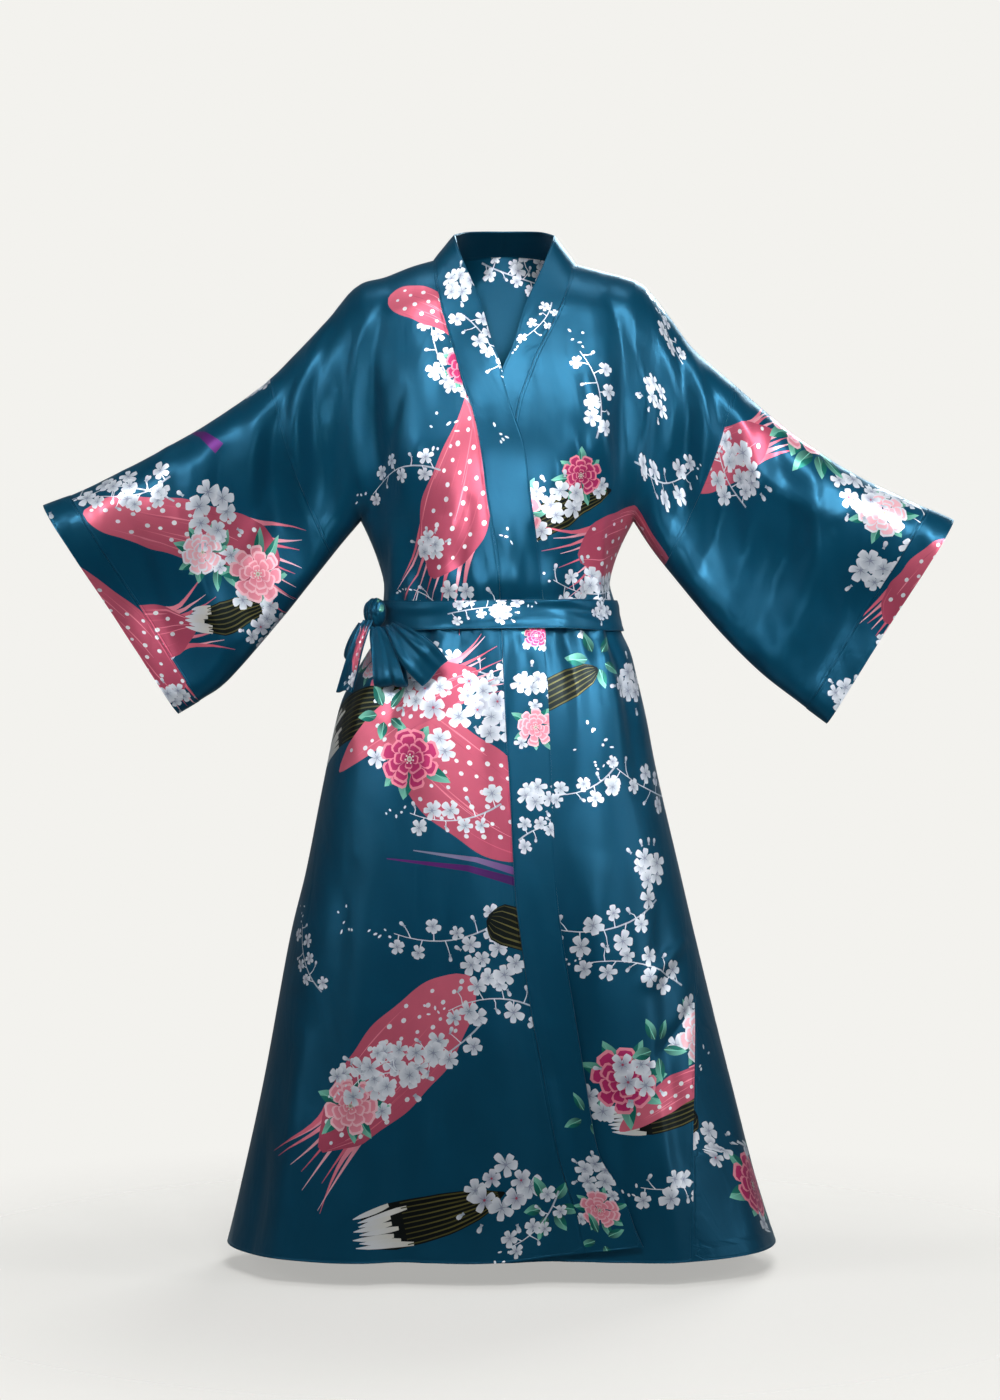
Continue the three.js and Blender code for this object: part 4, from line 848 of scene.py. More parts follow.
def plume(path, widths, seed=4, c0="deep", c1="pink", mark=5.6, gap=17.0):
    """A broad ribbon with a round far end, a tasselled foot and rows of small tie-dyed dots."""
    g, rnd = Ink(), random.Random(seed)
    n_ = 41
    p = bez(*path, n=n_)
    t = unit(np.gradient(p, axis=0))
    n = np.stack([-t[:, 1], t[:, 0]], 1)
    q = np.linspace(0, 1, n_)
    w = np.interp(q, np.linspace(0, 1, len(widths)), widths)
    w = np.convolve(np.r_[w[:1].repeat(4), w, w[-1:].repeat(4)], np.ones(9) / 9, "valid")
    w = w * np.sqrt(np.clip(1 - np.clip((q - 0.86) / 0.14, 0, 1) ** 2, 0.02, 1)) * np.sqrt(np.clip(q / 0.16, 0.05, 1))
    wave = 1 + 0.03 * np.sin(q * 23 + seed)
    up, dn = p + n * (w / 2 * wave)[:, None], p - n * (w / 2 * wave[::-1])[:, None]
    # loose strands off the foot
    for k in range(9):
        o = -0.5 + k / 8
        i0 = rnd.randint(3, 8)
        foot = p[i0] + n[i0] * w[i0] * o
        back = -t[0] * rnd.uniform(0.25, 0.55) * max(widths) + n[0] * o * max(widths) * rnd.uniform(0.9, 1.5)
        strand(bez(p[i0 + 4] + n[i0 + 4] * w[i0 + 4] * o * 0.9, foot, p[0] + back, 8), [5.0, 5.4, 5.0, 4.2, 3.2, 2.2, 1.2, 0.4], c1 if k % 3 else "rose", "blush" if k % 2 else c1, g)
    g.add(np.vstack([up, dn[::-1]]), c1, c0, p[-1], np.linalg.norm(p[-1] - p[0]) * 0.9)
    for k in range(12):
        o = rnd.uniform(-0.46, 0.46)
        i0 = rnd.randint(0, n_ - 16)
        seg = p[i0 : i0 + 14] + n[i0 : i0 + 14] * (w[i0 : i0 + 14] * o)[:, None]
        strand(seg, np.r_[np.linspace(0.2, rnd.uniform(0.9, 2.0), 7), np.linspace(1.1, 0.2, 7)], "rose" if k % 2 else "deep", "pink", g)
    length = np.r_[0, np.cumsum(np.linalg.norm(np.diff(p, axis=0), axis=1))]
    for r in range(int(length[-1] / (gap * 0.8))):
        d = (r + 0.9) * gap * 0.8
        if d > length[-1] - 5:
            break
        c = np.array([np.interp(d, length, p[:, 0]), np.interp(d, length, p[:, 1])])
        m = np.array([np.interp(d, length, n[:, 0]), np.interp(d, length, n[:, 1])])
        a = math.degrees(math.atan2(-m[0], m[1]))
        width = np.interp(d, length, w)
        across = int(width / gap) + 2
        for k in range(across):
            o = (k - (across - 1) / 2 + (0.25 if r % 2 else -0.25)) * gap
            if abs(o) > width / 2 - mark * 0.95:
                continue
            at = c + m * o + np.array([rnd.uniform(-1.5, 1.5), rnd.uniform(-1.5, 1.5)])
            s_ = mark * rnd.uniform(0.72, 1.05)
            g.add(turned(ellipse(0, 0, s_ * 0.5, s_ * 0.42, 8), a, 1, at), "cream" if k % 3 else "blush", "white")
    return g


def ribbed(path, widths, seed=6, ribs=9, tip=0.24):
    """A long dark ribbed leaf with pale blades at its tip."""
    g, rnd = Ink(), random.Random(seed)
    n_ = 25
    p = bez(*path, n=n_)
    t = unit(np.gradient(p, axis=0))
    n = np.stack([-t[:, 1], t[:, 0]], 1)
    q = np.linspace(0, 1, n_)
    w = np.interp(q, np.linspace(0, 1, len(widths)), widths) * np.sqrt(np.clip(q / 0.12, 0.04, 1))
    g.add(np.vstack([p + n * (w / 2)[:, None], (p - n * (w / 2)[:, None])[::-1]]), "dark", "dark")
    cut = int(n_ * (1 - tip))
    blades = max(5, ribs - 1)
    for k in range(blades):
        o = -0.46 + 0.92 * k / (blades - 1)
        i0 = cut - rnd.randint(0, 3)
        a_, b_ = p[i0] + n[i0] * w[i0] * o, p[-1] + n[-1] * w[-1] * o + t[-1] * w[-1] * rnd.uniform(0.05, 0.5)
        strand(bez(a_, (a_ + b_) / 2, b_, 6), np.array([0.7, 1.0, 1.05, 0.95, 0.7, 0.15]) * max(w) / blades * 0.92, "cream", "white", g)
    for k in range(ribs):
        o = -0.45 + 0.9 * k / (ribs - 1)
        line_ = p[1 : cut - 1] + n[1 : cut - 1] * (w[1 : cut - 1] * o)[:, None]
        strand(line_, np.interp(np.linspace(0, 1, len(line_)), [0, 0.4, 1], [0.3, max(w) / ribs * 0.34, max(w) / ribs * 0.22]), "gold" if k % 2 else "olive", "olive", g)
    return g


def leaves(seed=8, n=5, length=30.0, spread=360):
    g, rnd = Ink(), random.Random(seed)
    for k in range(n):
        a = spread * k / n + rnd.uniform(-14, 14)
        g.put(leaf(length * rnd.uniform(0.75, 1.15), length * rnd.uniform(0.38, 0.5)), turned([[length * 0.35, 0]], a)[0], a, 1, k % 2 == 1 and False)
    return g


def posy(seed=9, r=27.0, kind="pink"):
    """A peony among leaves and a few white blossoms."""
    g, rnd = Ink(), random.Random(seed)
    g.put(leaves(seed, 7, r * 1.15), (0, 0))
    for k in range(3):
        a = rnd.uniform(0, 360)
        g.put(blossom(r * 0.42, seed + k), turned([[r * 1.25, 0]], a)[0], rnd.uniform(0, 72))
    tones = {"pink": ("blush", "rose", "pink"), "magenta": ("rose", "magenta", "berry"), "light": ("white", "blush", "rose")}[kind]
    g.put(peony(r, seed, *tones), (0, 0), rnd.uniform(0, 360))
    return g


# the print: piece, motif, picture x, picture y, turn, scale; drawn in this order
def P_(a, b, c):
    return (a, b, c)


PRINT = [
    # upper front, viewer's left: shoulder and chest
    ("front_right_upper", plume(P_((0, 0), (-38, -70), (-52, -205)), (30, 62, 74, 60, 30, 12), 11), 424, 296, 0, 1.0),
    ("front_right_upper", sprig(120, 16, 21, 6, 11), 360, 312, -14, 1.0),
    ("front_right_upper", bunch(22, 5, 16, 10), 452, 352, 0, 0.9),
    ("front_right_upper", sprig(92, -14, 23, 4, 9), 400, 412, 6, 0.95),
    ("front_right_upper", spray(24, 9, 20), 430, 446, 0, 1.0),
    ("front_right_upper", sprig(110, 12, 25, 5, 9), 372, 470, -72, 1.0),
    ("front_right_upper", posy(26, 22, "magenta"), 396, 512, 0, 0.9),
    ("front_right_upper", plume(P_((0, 0), (24, -40), (70, -92)), (8, 34, 40, 30), 27, gap=14), 384, 546, 0, 0.9),
    ("front_right_upper", sprig(86, 12, 28, 4, 8), 298, 372, -58, 0.95),
    ("front_right_upper", leaves(29, 4, 20), 412, 548, 0, 0.9),
    # upper front: hip
    ("front_right_upper", ribbed(P_((0, 0), (70, 26), (140, 34)), (10, 30, 40, 44, 46, 30), 31), 396, 696, 0, 1.0),
    ("front_right_upper", plume(P_((0, 0), (-86, -46), (-196, -110)), (30, 58, 78, 84, 70, 36), 32), 494, 738, 0, 1.0),
    ("front_right_upper", bunch(33, 8, 34, 13, 1), 398, 712, 0, 1.0),
    ("front_right_upper", posy(34, 25, "pink"), 484, 784, 0, 1.0),
    ("front_right_upper", bunch(35, 7, 28, 12), 444, 806, 0, 1.0),
    ("front_right_upper", sprig(110, -16, 36, 6, 10), 396, 838, 12, 1.0),
    ("front_right_upper", leaves(37, 6, 24), 352, 700, 0, 1.0),
    ("front_right_upper", sprig(70, 10, 38, 4, 9), 334, 712, 30, 1.0),
    # upper front: middle of the skirt
    ("front_right_upper", sprig(140, 18, 41, 8, 11), 386, 892, 10, 1.0),
    ("front_right_upper", sprig(100, -14, 42, 6, 11), 310, 900, -22, 1.0),
    ("front_right_upper", bunch(43, 6, 26, 11), 330, 944, 0, 1.0),
    ("front_right_upper", sprig(110, 14, 44, 6, 10), 330, 962, 4, 1.0),
    ("front_right_upper", spray(45, 6, 14), 520, 992, 0, 1.0),
    ("front_right_upper", sprig(80, 10, 46, 5, 9), 484, 884, -54, 0.9),
    # upper front: lower skirt and hem
    ("front_right_upper", ribbed(P_((0, 0), (-40, 12), (-96, 30)), (34, 40, 34, 20, 10), 51, 7, 0.1), 330, 992, 0, 1.0),
    ("front_right_upper", plume(P_((0, 0), (96, -30), (206, -150)), (44, 84, 96, 92, 70, 34), 52), 284, 1024, 0, 1.0),
    ("front_right_upper", strand([(0, 0), (60, -8), (140, -6)], [9, 6, 1], "violet", "purple"), 318, 1010, -4, 1.0),
    ("front_right_upper", strand([(0, 0), (50, -14), (112, -22)], [8, 5, 1], "purple", "lilac"), 312, 1028, -8, 1.0),
    ("front_right_upper", sprig(90, 12, 53, 5, 10), 262, 1120, 18, 1.0),
    ("front_right_upper", bunch(54, 7, 26, 12), 300, 1148, 0, 1.0),
    ("front_right_upper", sprig(120, -14, 55, 6, 10), 262, 1190, -6, 1.0),
    ("front_right_upper", ribbed(P_((0, 0), (100, -34), (196, 22)), (8, 36, 46, 50, 46, 34), 56, 10), 392, 1192, 0, 1.0),
    ("front_right_upper", plume(P_((0, 0), (80, 12), (170, 66)), (26, 52, 50, 30, 12), 57, gap=15), 400, 1246, 0, 1.0),
    ("front_right_upper", posy(58, 29, "magenta"), 448, 1146, 0, 1.0),
    ("front_right_upper", bunch(59, 8, 36, 13, 1), 392, 1196, 0, 1.0),
    ("front_right_upper", bunch(60, 6, 26, 11), 450, 1232, 0, 1.0),
    ("front_right_upper", bunch(61, 5, 24, 11, 1), 352, 1222, 0, 1.0),
    ("front_right_upper", posy(62, 20, "light"), 500, 1222, 0, 1.0),
    ("front_right_upper", leaves(63, 5, 24), 540, 1206, 0, 1.0),
    # lower front, viewer's right: shoulder and chest
    ("front_left_lower", ribbed(P_((0, 0), (60, 2), (120, 28)), (10, 28, 34, 30, 18), 71, 8, 0.16), 560, 372, 0, 1.0),
    ("front_left_lower", plume(P_((0, 0), (-60, -46), (-178, -84)), (36, 62, 72, 66, 40, 14), 72), 662, 348, 0, 1.0),
    ("front_left_lower", bunch(73, 8, 34, 12, 1), 612, 298, 0, 1.0),
    ("front_left_lower", sprig(90, 12, 74, 5, 10), 566, 300, -14, 1.0),
    ("front_left_lower", posy(75, 25, "pink"), 694, 392, 0, 1.0),
    ("front_left_lower", posy(76, 19, "magenta"), 672, 424, 0, 1.0),
    ("front_left_lower", bunch(77, 6, 24, 11), 636, 404, 0, 1.0),
    ("front_left_lower", sprig(110, -16, 78, 6, 10), 606, 440, -150, 1.0),
    ("front_left_lower", bunch(79, 5, 22, 10), 574, 508, 0, 1.0),
    ("front_left_lower", sprig(70, 10, 80, 4, 9), 560, 520, -40, 1.0),
    ("front_left_lower", sprig(90, -12, 81, 5, 9), 640, 470, -84, 1.0),
    # lower front: skirt
    ("front_left_lower", ribbed(P_((0, 0), (60, 16), (132, 10)), (16, 30, 36, 36, 24), 82, 8, 0.2), 556, 792, 0, 1.0),
    ("front_left_lower", plume(P_((0, 0), (60, -6), (120, 24)), (14, 30, 34, 26, 10), 83, gap=14), 556, 812, 0, 1.0),
    ("front_left_lower", sprig(96, 12, 84, 6, 11), 560, 746, -2, 1.0),
    ("front_left_lower", posy(85, 30, "magenta"), 656, 842, 0, 1.0),
    ("front_left_lower", posy(86, 27, "light"), 590, 862, 0, 1.0),
    ("front_left_lower", bunch(87, 6, 26, 12, 1), 628, 812, 0, 1.0),
    ("front_left_lower", leaves(88, 5, 26), 620, 872, 0, 1.0),
    ("front_left_lower", sprig(110, -12, 89, 6, 10), 574, 912, -4, 1.0),
    ("front_left_lower", sprig(130, 16, 90, 7, 11), 584, 970, 8, 1.0),
    ("front_left_lower", bunch(91, 5, 22, 11), 588, 1004, 0, 1.0),
    ("front_left_lower", posy(92, 15, "magenta"), 588, 1092, 0, 1.0),
    ("front_left_lower", sprig(120, 12, 93, 6, 10), 606, 1092, -8, 1.0),
    ("front_left_lower", sprig(76, 10, 94, 4, 9), 636, 1160, 12, 1.0),
    ("front_left_lower", leaves(95, 6, 26), 640, 1216, 0, 1.0),
    ("front_left_lower", ribbed(P_((0, 0), (40, 14), (92, 40)), (18, 30, 30, 16), 96, 6, 0.2), 630, 1236, 0, 1.0),
    ("front_left_lower", bunch(97, 6, 24, 11), 650, 1232, 0, 1.0),
    ("front_left_lower", spray(98, 9, 26), 690, 1150, 0, 1.0),
    # sleeve, viewer's left
    ("sleeve_right", sprig(130, 18, 101, 7, 11), 206, 428, -22, 1.0),
    ("sleeve_right", sprig(96, -12, 102, 5, 10), 258, 440, -66, 1.0),
    ("sleeve_right", bunch(103, 5, 20, 11), 244, 438, 0, 1.0),
    ("sleeve_right", plume(P_((0, 0), (70, 6), (150, -70)), (34, 54, 64, 66, 50, 24), 104), 194, 496, 0, 1.0),
    ("sleeve_right", plume(P_((0, 0), (30, -90), (96, -186)), (60, 64, 58, 50, 30), 105), 84, 514, 0, 1.0),
    ("sleeve_right", ribbed(P_((0, 0), (40, 12), (86, -4)), (14, 28, 34, 20), 106, 7, 0.1), 118, 488, 0, 1.0),
    ("sleeve_right", leaves(107, 7, 26), 150, 560, 0, 1.0),
    ("sleeve_right", posy(108, 27, "pink"), 152, 536, 0, 1.0),
    ("sleeve_right", posy(109, 20, "light"), 186, 566, 0, 1.0),
    ("sleeve_right", bunch(110, 7, 28, 12), 196, 606, 0, 1.0),
    ("sleeve_right", sprig(110, -14, 111, 6, 10), 208, 564, -16, 1.0),
    ("sleeve_right", sprig(80, 10, 112, 5, 9), 184, 640, -28, 1.0),
    ("sleeve_right", strand([(0, 0), (16, -24), (44, -62)], [12, 7, 1], "purple", "violet"), 156, 612, 0, 1.0),
    ("sleeve_right", bunch(113, 6, 22, 10, 1), 128, 484, 0, 1.0),
    # sleeve, viewer's right
    ("sleeve_left", posy(121, 22, "pink"), 718, 408, 0, 1.0),
    ("sleeve_left", sprig(120, 14, 122, 7, 11), 742, 412, -78, 1.0),
    ("sleeve_left", bunch(123, 6, 24, 12), 716, 500, 0, 1.0),
    ("sleeve_left", sprig(110, -14, 124, 6, 10), 690, 520, -58, 1.0),
    ("sleeve_left", posy(125, 22, "light"), 724, 588, 0, 1.0),
    ("sleeve_left", ribbed(P_((0, 0), (-30, -16), (-62, -46)), (16, 26, 26, 10), 126, 6, 0.12), 716, 612, 0, 1.0),
    ("sleeve_left", bunch(127, 5, 22, 11, 1), 756, 620, 0, 1.0),
    ("sleeve_left", plume(P_((0, 0), (30, 60), (74, 112)), (20, 44, 50, 30), 128), 832, 690, 0, 1.0),
    ("sleeve_left", leaves(129, 7, 30), 792, 656, 0, 1.0),
    ("sleeve_left", posy(130, 31, "pink"), 794, 652, 0, 1.0),
    ("sleeve_left", bunch(131, 5, 22, 12), 842, 600, 0, 1.0),
    ("sleeve_left", sprig(70, 10, 132, 4, 10), 868, 560, -18, 1.0),
    ("sleeve_left", sprig(80, -8, 133, 4, 9), 700, 640, 14, 1.0),
    # cuffs
    ("cuff_band_right", plume(P_((0, 0), (24, -90), (112, -210)), (60, 60, 56, 44, 20), 141), 62, 520, 0, 1.0),
    ("cuff_band_right", bunch(142, 5, 18, 10), 62, 510, 0, 1.0),
    ("cuff_band_right", bud(6), 182, 694, 10, 1.0),
    ("cuff_band_left", bunch(143, 6, 20, 11), 916, 540, 0, 1.0),
    ("cuff_band_left", plume(P_((0, 0), (-20, -50), (-52, -112)), (30, 50, 50, 30), 144), 884, 610, 0, 1.0),
    ("cuff_band_left", sprig(60, 6, 145, 4, 8), 896, 576, -120, 1.0),
    # neck bands
    ("neck_band_right", bunch(151, 6, 20, 11), 454, 282, 0, 1.0),
    ("neck_band_right", sprig(80, 8, 152, 5, 10), 462, 318, -70, 1.0),
    ("neck_band_right", spray(153, 5, 12), 500, 436, 0, 1.0),
    ("neck_band_right", spray(154, 4, 10), 512, 540, 0, 1.0),
    ("neck_band_right", posy(155, 13, "magenta"), 532, 640, 0, 1.0),
    ("neck_band_right", bunch(156, 5, 18, 11), 526, 684, 0, 1.0),
    ("neck_band_right", posy(157, 20, "pink"), 534, 726, 0, 1.0),
    ("neck_band_right", bunch(158, 5, 18, 11), 532, 792, 0, 1.0),
    ("neck_band_right", sprig(60, 6, 159, 4, 9), 520, 838, 20, 1.0),
    ("neck_band_right", leaves(160, 4, 22), 584, 1120, 0, 1.0),
    ("neck_band_right", bunch(161, 5, 18, 11), 596, 1168, 0, 1.0),
    ("neck_band_right", posy(162, 20, "pink"), 600, 1206, 0, 1.0),
    ("neck_band_right", leaves(163, 4, 22), 606, 1240, 0, 1.0),
    ("neck_band_left", sprig(60, 6, 164, 3, 8), 556, 300, -100, 0.9),
    # back: what is seen inside the neck and beside the seam at the lower right, and a plain few behind
    ("back_panel", sprig(90, -6, 171, 7, 8), "uv", (-46, -14), 2, 1.0),
    ("back_panel", sprig(60, 6, 172, 5, 8), "uv", (30, -8), -8, 1.0),
    ("back_panel", posy(173, 32, "magenta"), 736, 1186, 0, 1.0),
    ("back_panel", bunch(174, 6, 26, 12, 1), 716, 1122, 0, 1.0),
    ("back_panel", ribbed(P_((0, 0), (30, 4), (70, -10)), (26, 34, 34, 26), 175, 7, 0.14), 696, 1096, 0, 1.0),
    ("back_panel", spray(176, 6, 20), 706, 1046, 0, 1.0),
    ("back_panel", leaves(177, 4, 22), 752, 1148, 0, 1.0),
    ("back_panel", sprig(130, 16, 178, 7, 11), "uv", (-60, 160), -30, 1.0),
    ("back_panel", bunch(179, 6, 28, 12), "uv", (70, 120), 0, 1.0),
    ("back_panel", sprig(120, -14, 180, 6, 11), "uv", (-120, 620), 24, 1.0),
    ("back_panel", posy(181, 28, "pink"), "uv", (-60, 760), 0, 1.0),
    ("back_panel", bunch(182, 6, 28, 12), "uv", (20, 800), 0, 1.0),
    ("back_panel", sprig(140, 16, 183, 7, 11), "uv", (40, 1000), -14, 1.0),
    ("back_panel", posy(184, 30, "magenta"), "uv", (-160, 1150), 0, 1.0),
    ("back_panel", bunch(185, 8, 34, 13, 1), "uv", (-90, 1190), 0, 1.0),
    ("back_panel", bunch(186, 7, 30, 12), "uv", (60, 1200), 0, 1.0),
    # sash and bow
    ("sash", sprig(90, 4, 191, 6, 9), 448, 614, 4, 1.0),
    ("sash", bunch(192, 4, 14, 9), 500, 612, 0, 1.0),
    ("sash", bunch(193, 4, 12, 9), 600, 612, 0, 1.0),
    ("sash_tail", plume(P_((0, 0), (-6, -30), (-14, -62)), (20, 22, 22, 16), 194, gap=11), 376, 632, 0, 0.9),
    ("sash_tail", bunch(195, 4, 10, 8), 354, 680, 0, 1.0),
    ("sash_loop_side", bunch(196, 3, 10, 8), 352, 650, 0, 1.0),
    ("sash_knot", leaves(197, 4, 14), 378, 610, 0, 1.0),
]


def scattered(name, spots, seed):
    """The print where the picture doesn't show it: like kinds and colours, uneven spacing."""
    rnd = random.Random(seed)
    out = []
    for k, (u, v) in enumerate(spots):
        u, v, deg = u + rnd.uniform(-22, 22), v + rnd.uniform(-18, 18), rnd.uniform(0, 360)
        kind = rnd.choice("ssssbbbppplr")
        n = 400 + seed * 20 + k
        if kind == "s":
            ink = sprig(rnd.uniform(80, 130), rnd.choice((-14, 14)), n, rnd.randint(4, 7), 10)
            deg = rnd.uniform(-40, 40)
        elif kind == "b":
            ink = bunch(n, rnd.randint(5, 8), rnd.uniform(20, 32), 12, k % 2)
        elif kind == "p":
            ink = posy(n, rnd.uniform(20, 30), rnd.choice(("pink", "magenta", "light")))
        elif kind == "l":
            ink = plume(P_((0, 0), (rnd.uniform(-60, 60), -70), (rnd.uniform(-90, 90), -170)), (34, 60, 72, 60, 36), n)
            deg = rnd.uniform(-50, 50)
        else:
            ink = ribbed(P_((0, 0), (60, rnd.uniform(-16, 22)), (124, rnd.uniform(-10, 30))), (14, 30, 38, 36, 22), n, 8, 0.2)
            deg = rnd.uniform(-30, 30)
        out.append((0 if kind in "lr" else 1, (name, ink, "uv", (u, v), deg, 1.0)))
    return [e for _o, e in sorted(out, key=lambda q: q[0])]


PRINT = (
    scattered("back_panel", [(u * (150 + 0.2 * v) / 100, v) for v, u in (
        (80, 80), (190, -95), (300, 20), (400, 60), (520, -60), (630, 70), (740, 15), (850, -95), (960, 75), (1060, -25), (1160, 80), (1235, -30))], 1)
    + scattered("sleeve_right", [(-60, -70), (-150, -120), (-240, -60), (-300, -190), (-200, -210), (-90, -170)], 2)
    + scattered("sleeve_left", [(60, -70), (150, -130), (240, -60), (300, -190), (190, -220), (90, -180)], 3)
    + PRINT
)


# the print has a layout of its own: each piece's motifs are turned end for end on it
EDGES = {
    "front_right_upper": (Table([[280, 350], [400, 340], [520, 365], [600, 372], [700, 340], [900, 300], [1100, 260], [1250, 230]]),
                          Table([[280, 455], [400, 510], [600, 530], [700, 530], [900, 540], [1250, 590]])),
    "front_left_lower": (Table([[280, 560], [400, 535], [600, 545], [700, 545], [900, 560], [1250, 620]]),
                         Table([[280, 690], [400, 700], [520, 640], [600, 615], [700, 645], [900, 690], [1250, 770]])),
}
MIDDLE = {"sleeve_right": (190, 545), "sleeve_left": (808, 548), "cuff_band_right": (118, 605), "cuff_band_left": (886, 616)}


def own_layout(name, px, py):
    if name in MIDDLE:
        return 2 * MIDDLE[name][0] - px, 2 * MIDDLE[name][1] - py
    left, right = EDGES[name]
    low, high = (285, 600) if py < 630 else (650, 1245)
    a, b = float(left(py, 0)), float(right(py, 0))
    new = low + high - min(max(py, low), high)
    c, d = float(left(new, 0)), float(right(new, 0))
    return c + (b - px) / (b - a) * (d - c), new


def print_on(name, patch):
    """Outlines of this piece's print in its chart, with their fills."""
    out = []
    rnd = random.Random(len(name) * 7 + 3)
    for piece, ink, px, py, deg, scale in PRINT:
        if piece != name:
            continue
        if px != "uv" and (name in MIDDLE or name in EDGES):
            px, py = own_layout(name, px, py)
            deg += 180
        if "sash" not in name:
            shift = 5 if "band" in name else 30
            scale = scale * (1.12 if "band" in name else 1.3 if len(ink.items) < 160 else 1.2)
            deg = deg + rnd.uniform(-20, 20)
            if px == "uv":
                py = (py[0] + rnd.uniform(-shift, shift), py[1] + rnd.uniform(-shift, shift) * 0.4)
            else:
                px, py = px + rnd.uniform(-shift, shift), py + rnd.uniform(-shift, shift)
        u0, v0 = py if px == "uv" else patch.at_px(px, py)
        g = Ink().put(ink, (0, 0), deg, scale)
        for poly, c0, c1, centre, reach, d in g.items:
            out.append((poly * [1, -1] + [u0, v0], c0, c1, centre * [1, -1] + [u0, v0], reach))
    return out


# ------------------------------------------------------------------ meshes
def mesh_piece(name, outer, inner, normals, tris, ink, chart, edge_mm, wall_colour=TEAL):
    """One object: the printed side, the inner side and the rim, in metres."""
    n, f = len(outer), len(tris)
    verts = np.vstack([outer, inner]) * 0.001
    back = tris[:, ::-1] + n
    e = np.vstack([tris[:, [0, 1]], tris[:, [1, 2]], tris[:, [2, 0]]])
    key = e[:, 0].astype(np.int64) * n + e[:, 1]
    rev = e[:, 1].astype(np.int64) * n + e[:, 0]
    border = e[~np.isin(rev, key)]
    rim = np.stack([border[:, 1], border[:, 0], border[:, 0] + n, border[:, 1] + n], 1)
    loops = np.concatenate([tris.ravel(), back.ravel(), rim.ravel()])
    starts = np.concatenate([np.arange(2 * f) * 3, 6 * f + np.arange(len(rim)) * 4])
    me = bpy.data.meshes.new(name)
    me.vertices.add(len(verts))
    me.vertices.foreach_set("co", verts.astype(np.float32).ravel())
    me.loops.add(len(loops))
    me.loops.foreach_set("vertex_index", loops.astype(np.int32))
    me.polygons.add(len(starts))
    me.polygons.foreach_set("loop_start", starts.astype(np.int32))
    me.update(calc_edges=True)
    me.validate(clean_customdata=False)
    colour = np.ones((len(loops), 4), np.float32)
    colour[: 3 * f, :3] = ink.reshape(-1, 3)
    colour[3 * f : 6 * f, :3] = ink[:, ::-1].reshape(-1, 3)
    colour[6 * f :, :3] = wall_colour
    if len(me.loops) == len(loops):
        layer = me.color_attributes.new("ink", "FLOAT_COLOR", "CORNER")
        layer.data.foreach_set("color", colour.ravel())
        uv = me.uv_layers.new(name="cloth")
        both = np.vstack([chart, chart])[loops] * 0.01
        uv.data.foreach_set("uv", both.astype(np.float32).ravel())
        loop_n = np.vstack([normals, -normals])[loops]
        if len(rim):
            a, b, c = (verts[rim[:, k]] for k in (0, 1, 2))
            rn = unit(np.cross(b - a, c - b))
            loop_n[6 * f :] = np.repeat(rn, 4, 0)
        me.polygons.foreach_set("use_smooth", np.ones(len(me.polygons), bool))
        me.normals_split_custom_set(loop_n.astype(np.float32).tolist())
    seam = me.attributes.new("seam", "FLOAT", "POINT")
    seam.data.foreach_set("value", np.r_[edge_mm, edge_mm].astype(np.float32))
    ob = bpy.data.objects.new(name, me)
    bpy.context.scene.collection.objects.link(ob)
    return ob


def polyline_distance(p, loop, closed=True):
    a = loop
    b = np.roll(loop, -1, 0) if closed else loop[1:]
    a = a if closed else loop[:-1]
    d = b - a
    l2 = np.maximum((d**2).sum(1), 1e-12)
    out = np.empty(len(p))
    for s in range(0, len(p), 4096):
        q = p[s : s + 4096, None]
        t = np.clip(((q - a) * d).sum(-1) / l2, 0, 1)
        out[s : s + 4096] = np.sqrt((((q - a) - d * t[..., None]) ** 2).sum(-1).min(1))
    return out


def turn_of(p):
    """Twice the signed area of a closed outline."""
    q = np.roll(p, -1, 0)
    return float((p[:, 0] * q[:, 1] - p[:, 1] * q[:, 0]).sum())


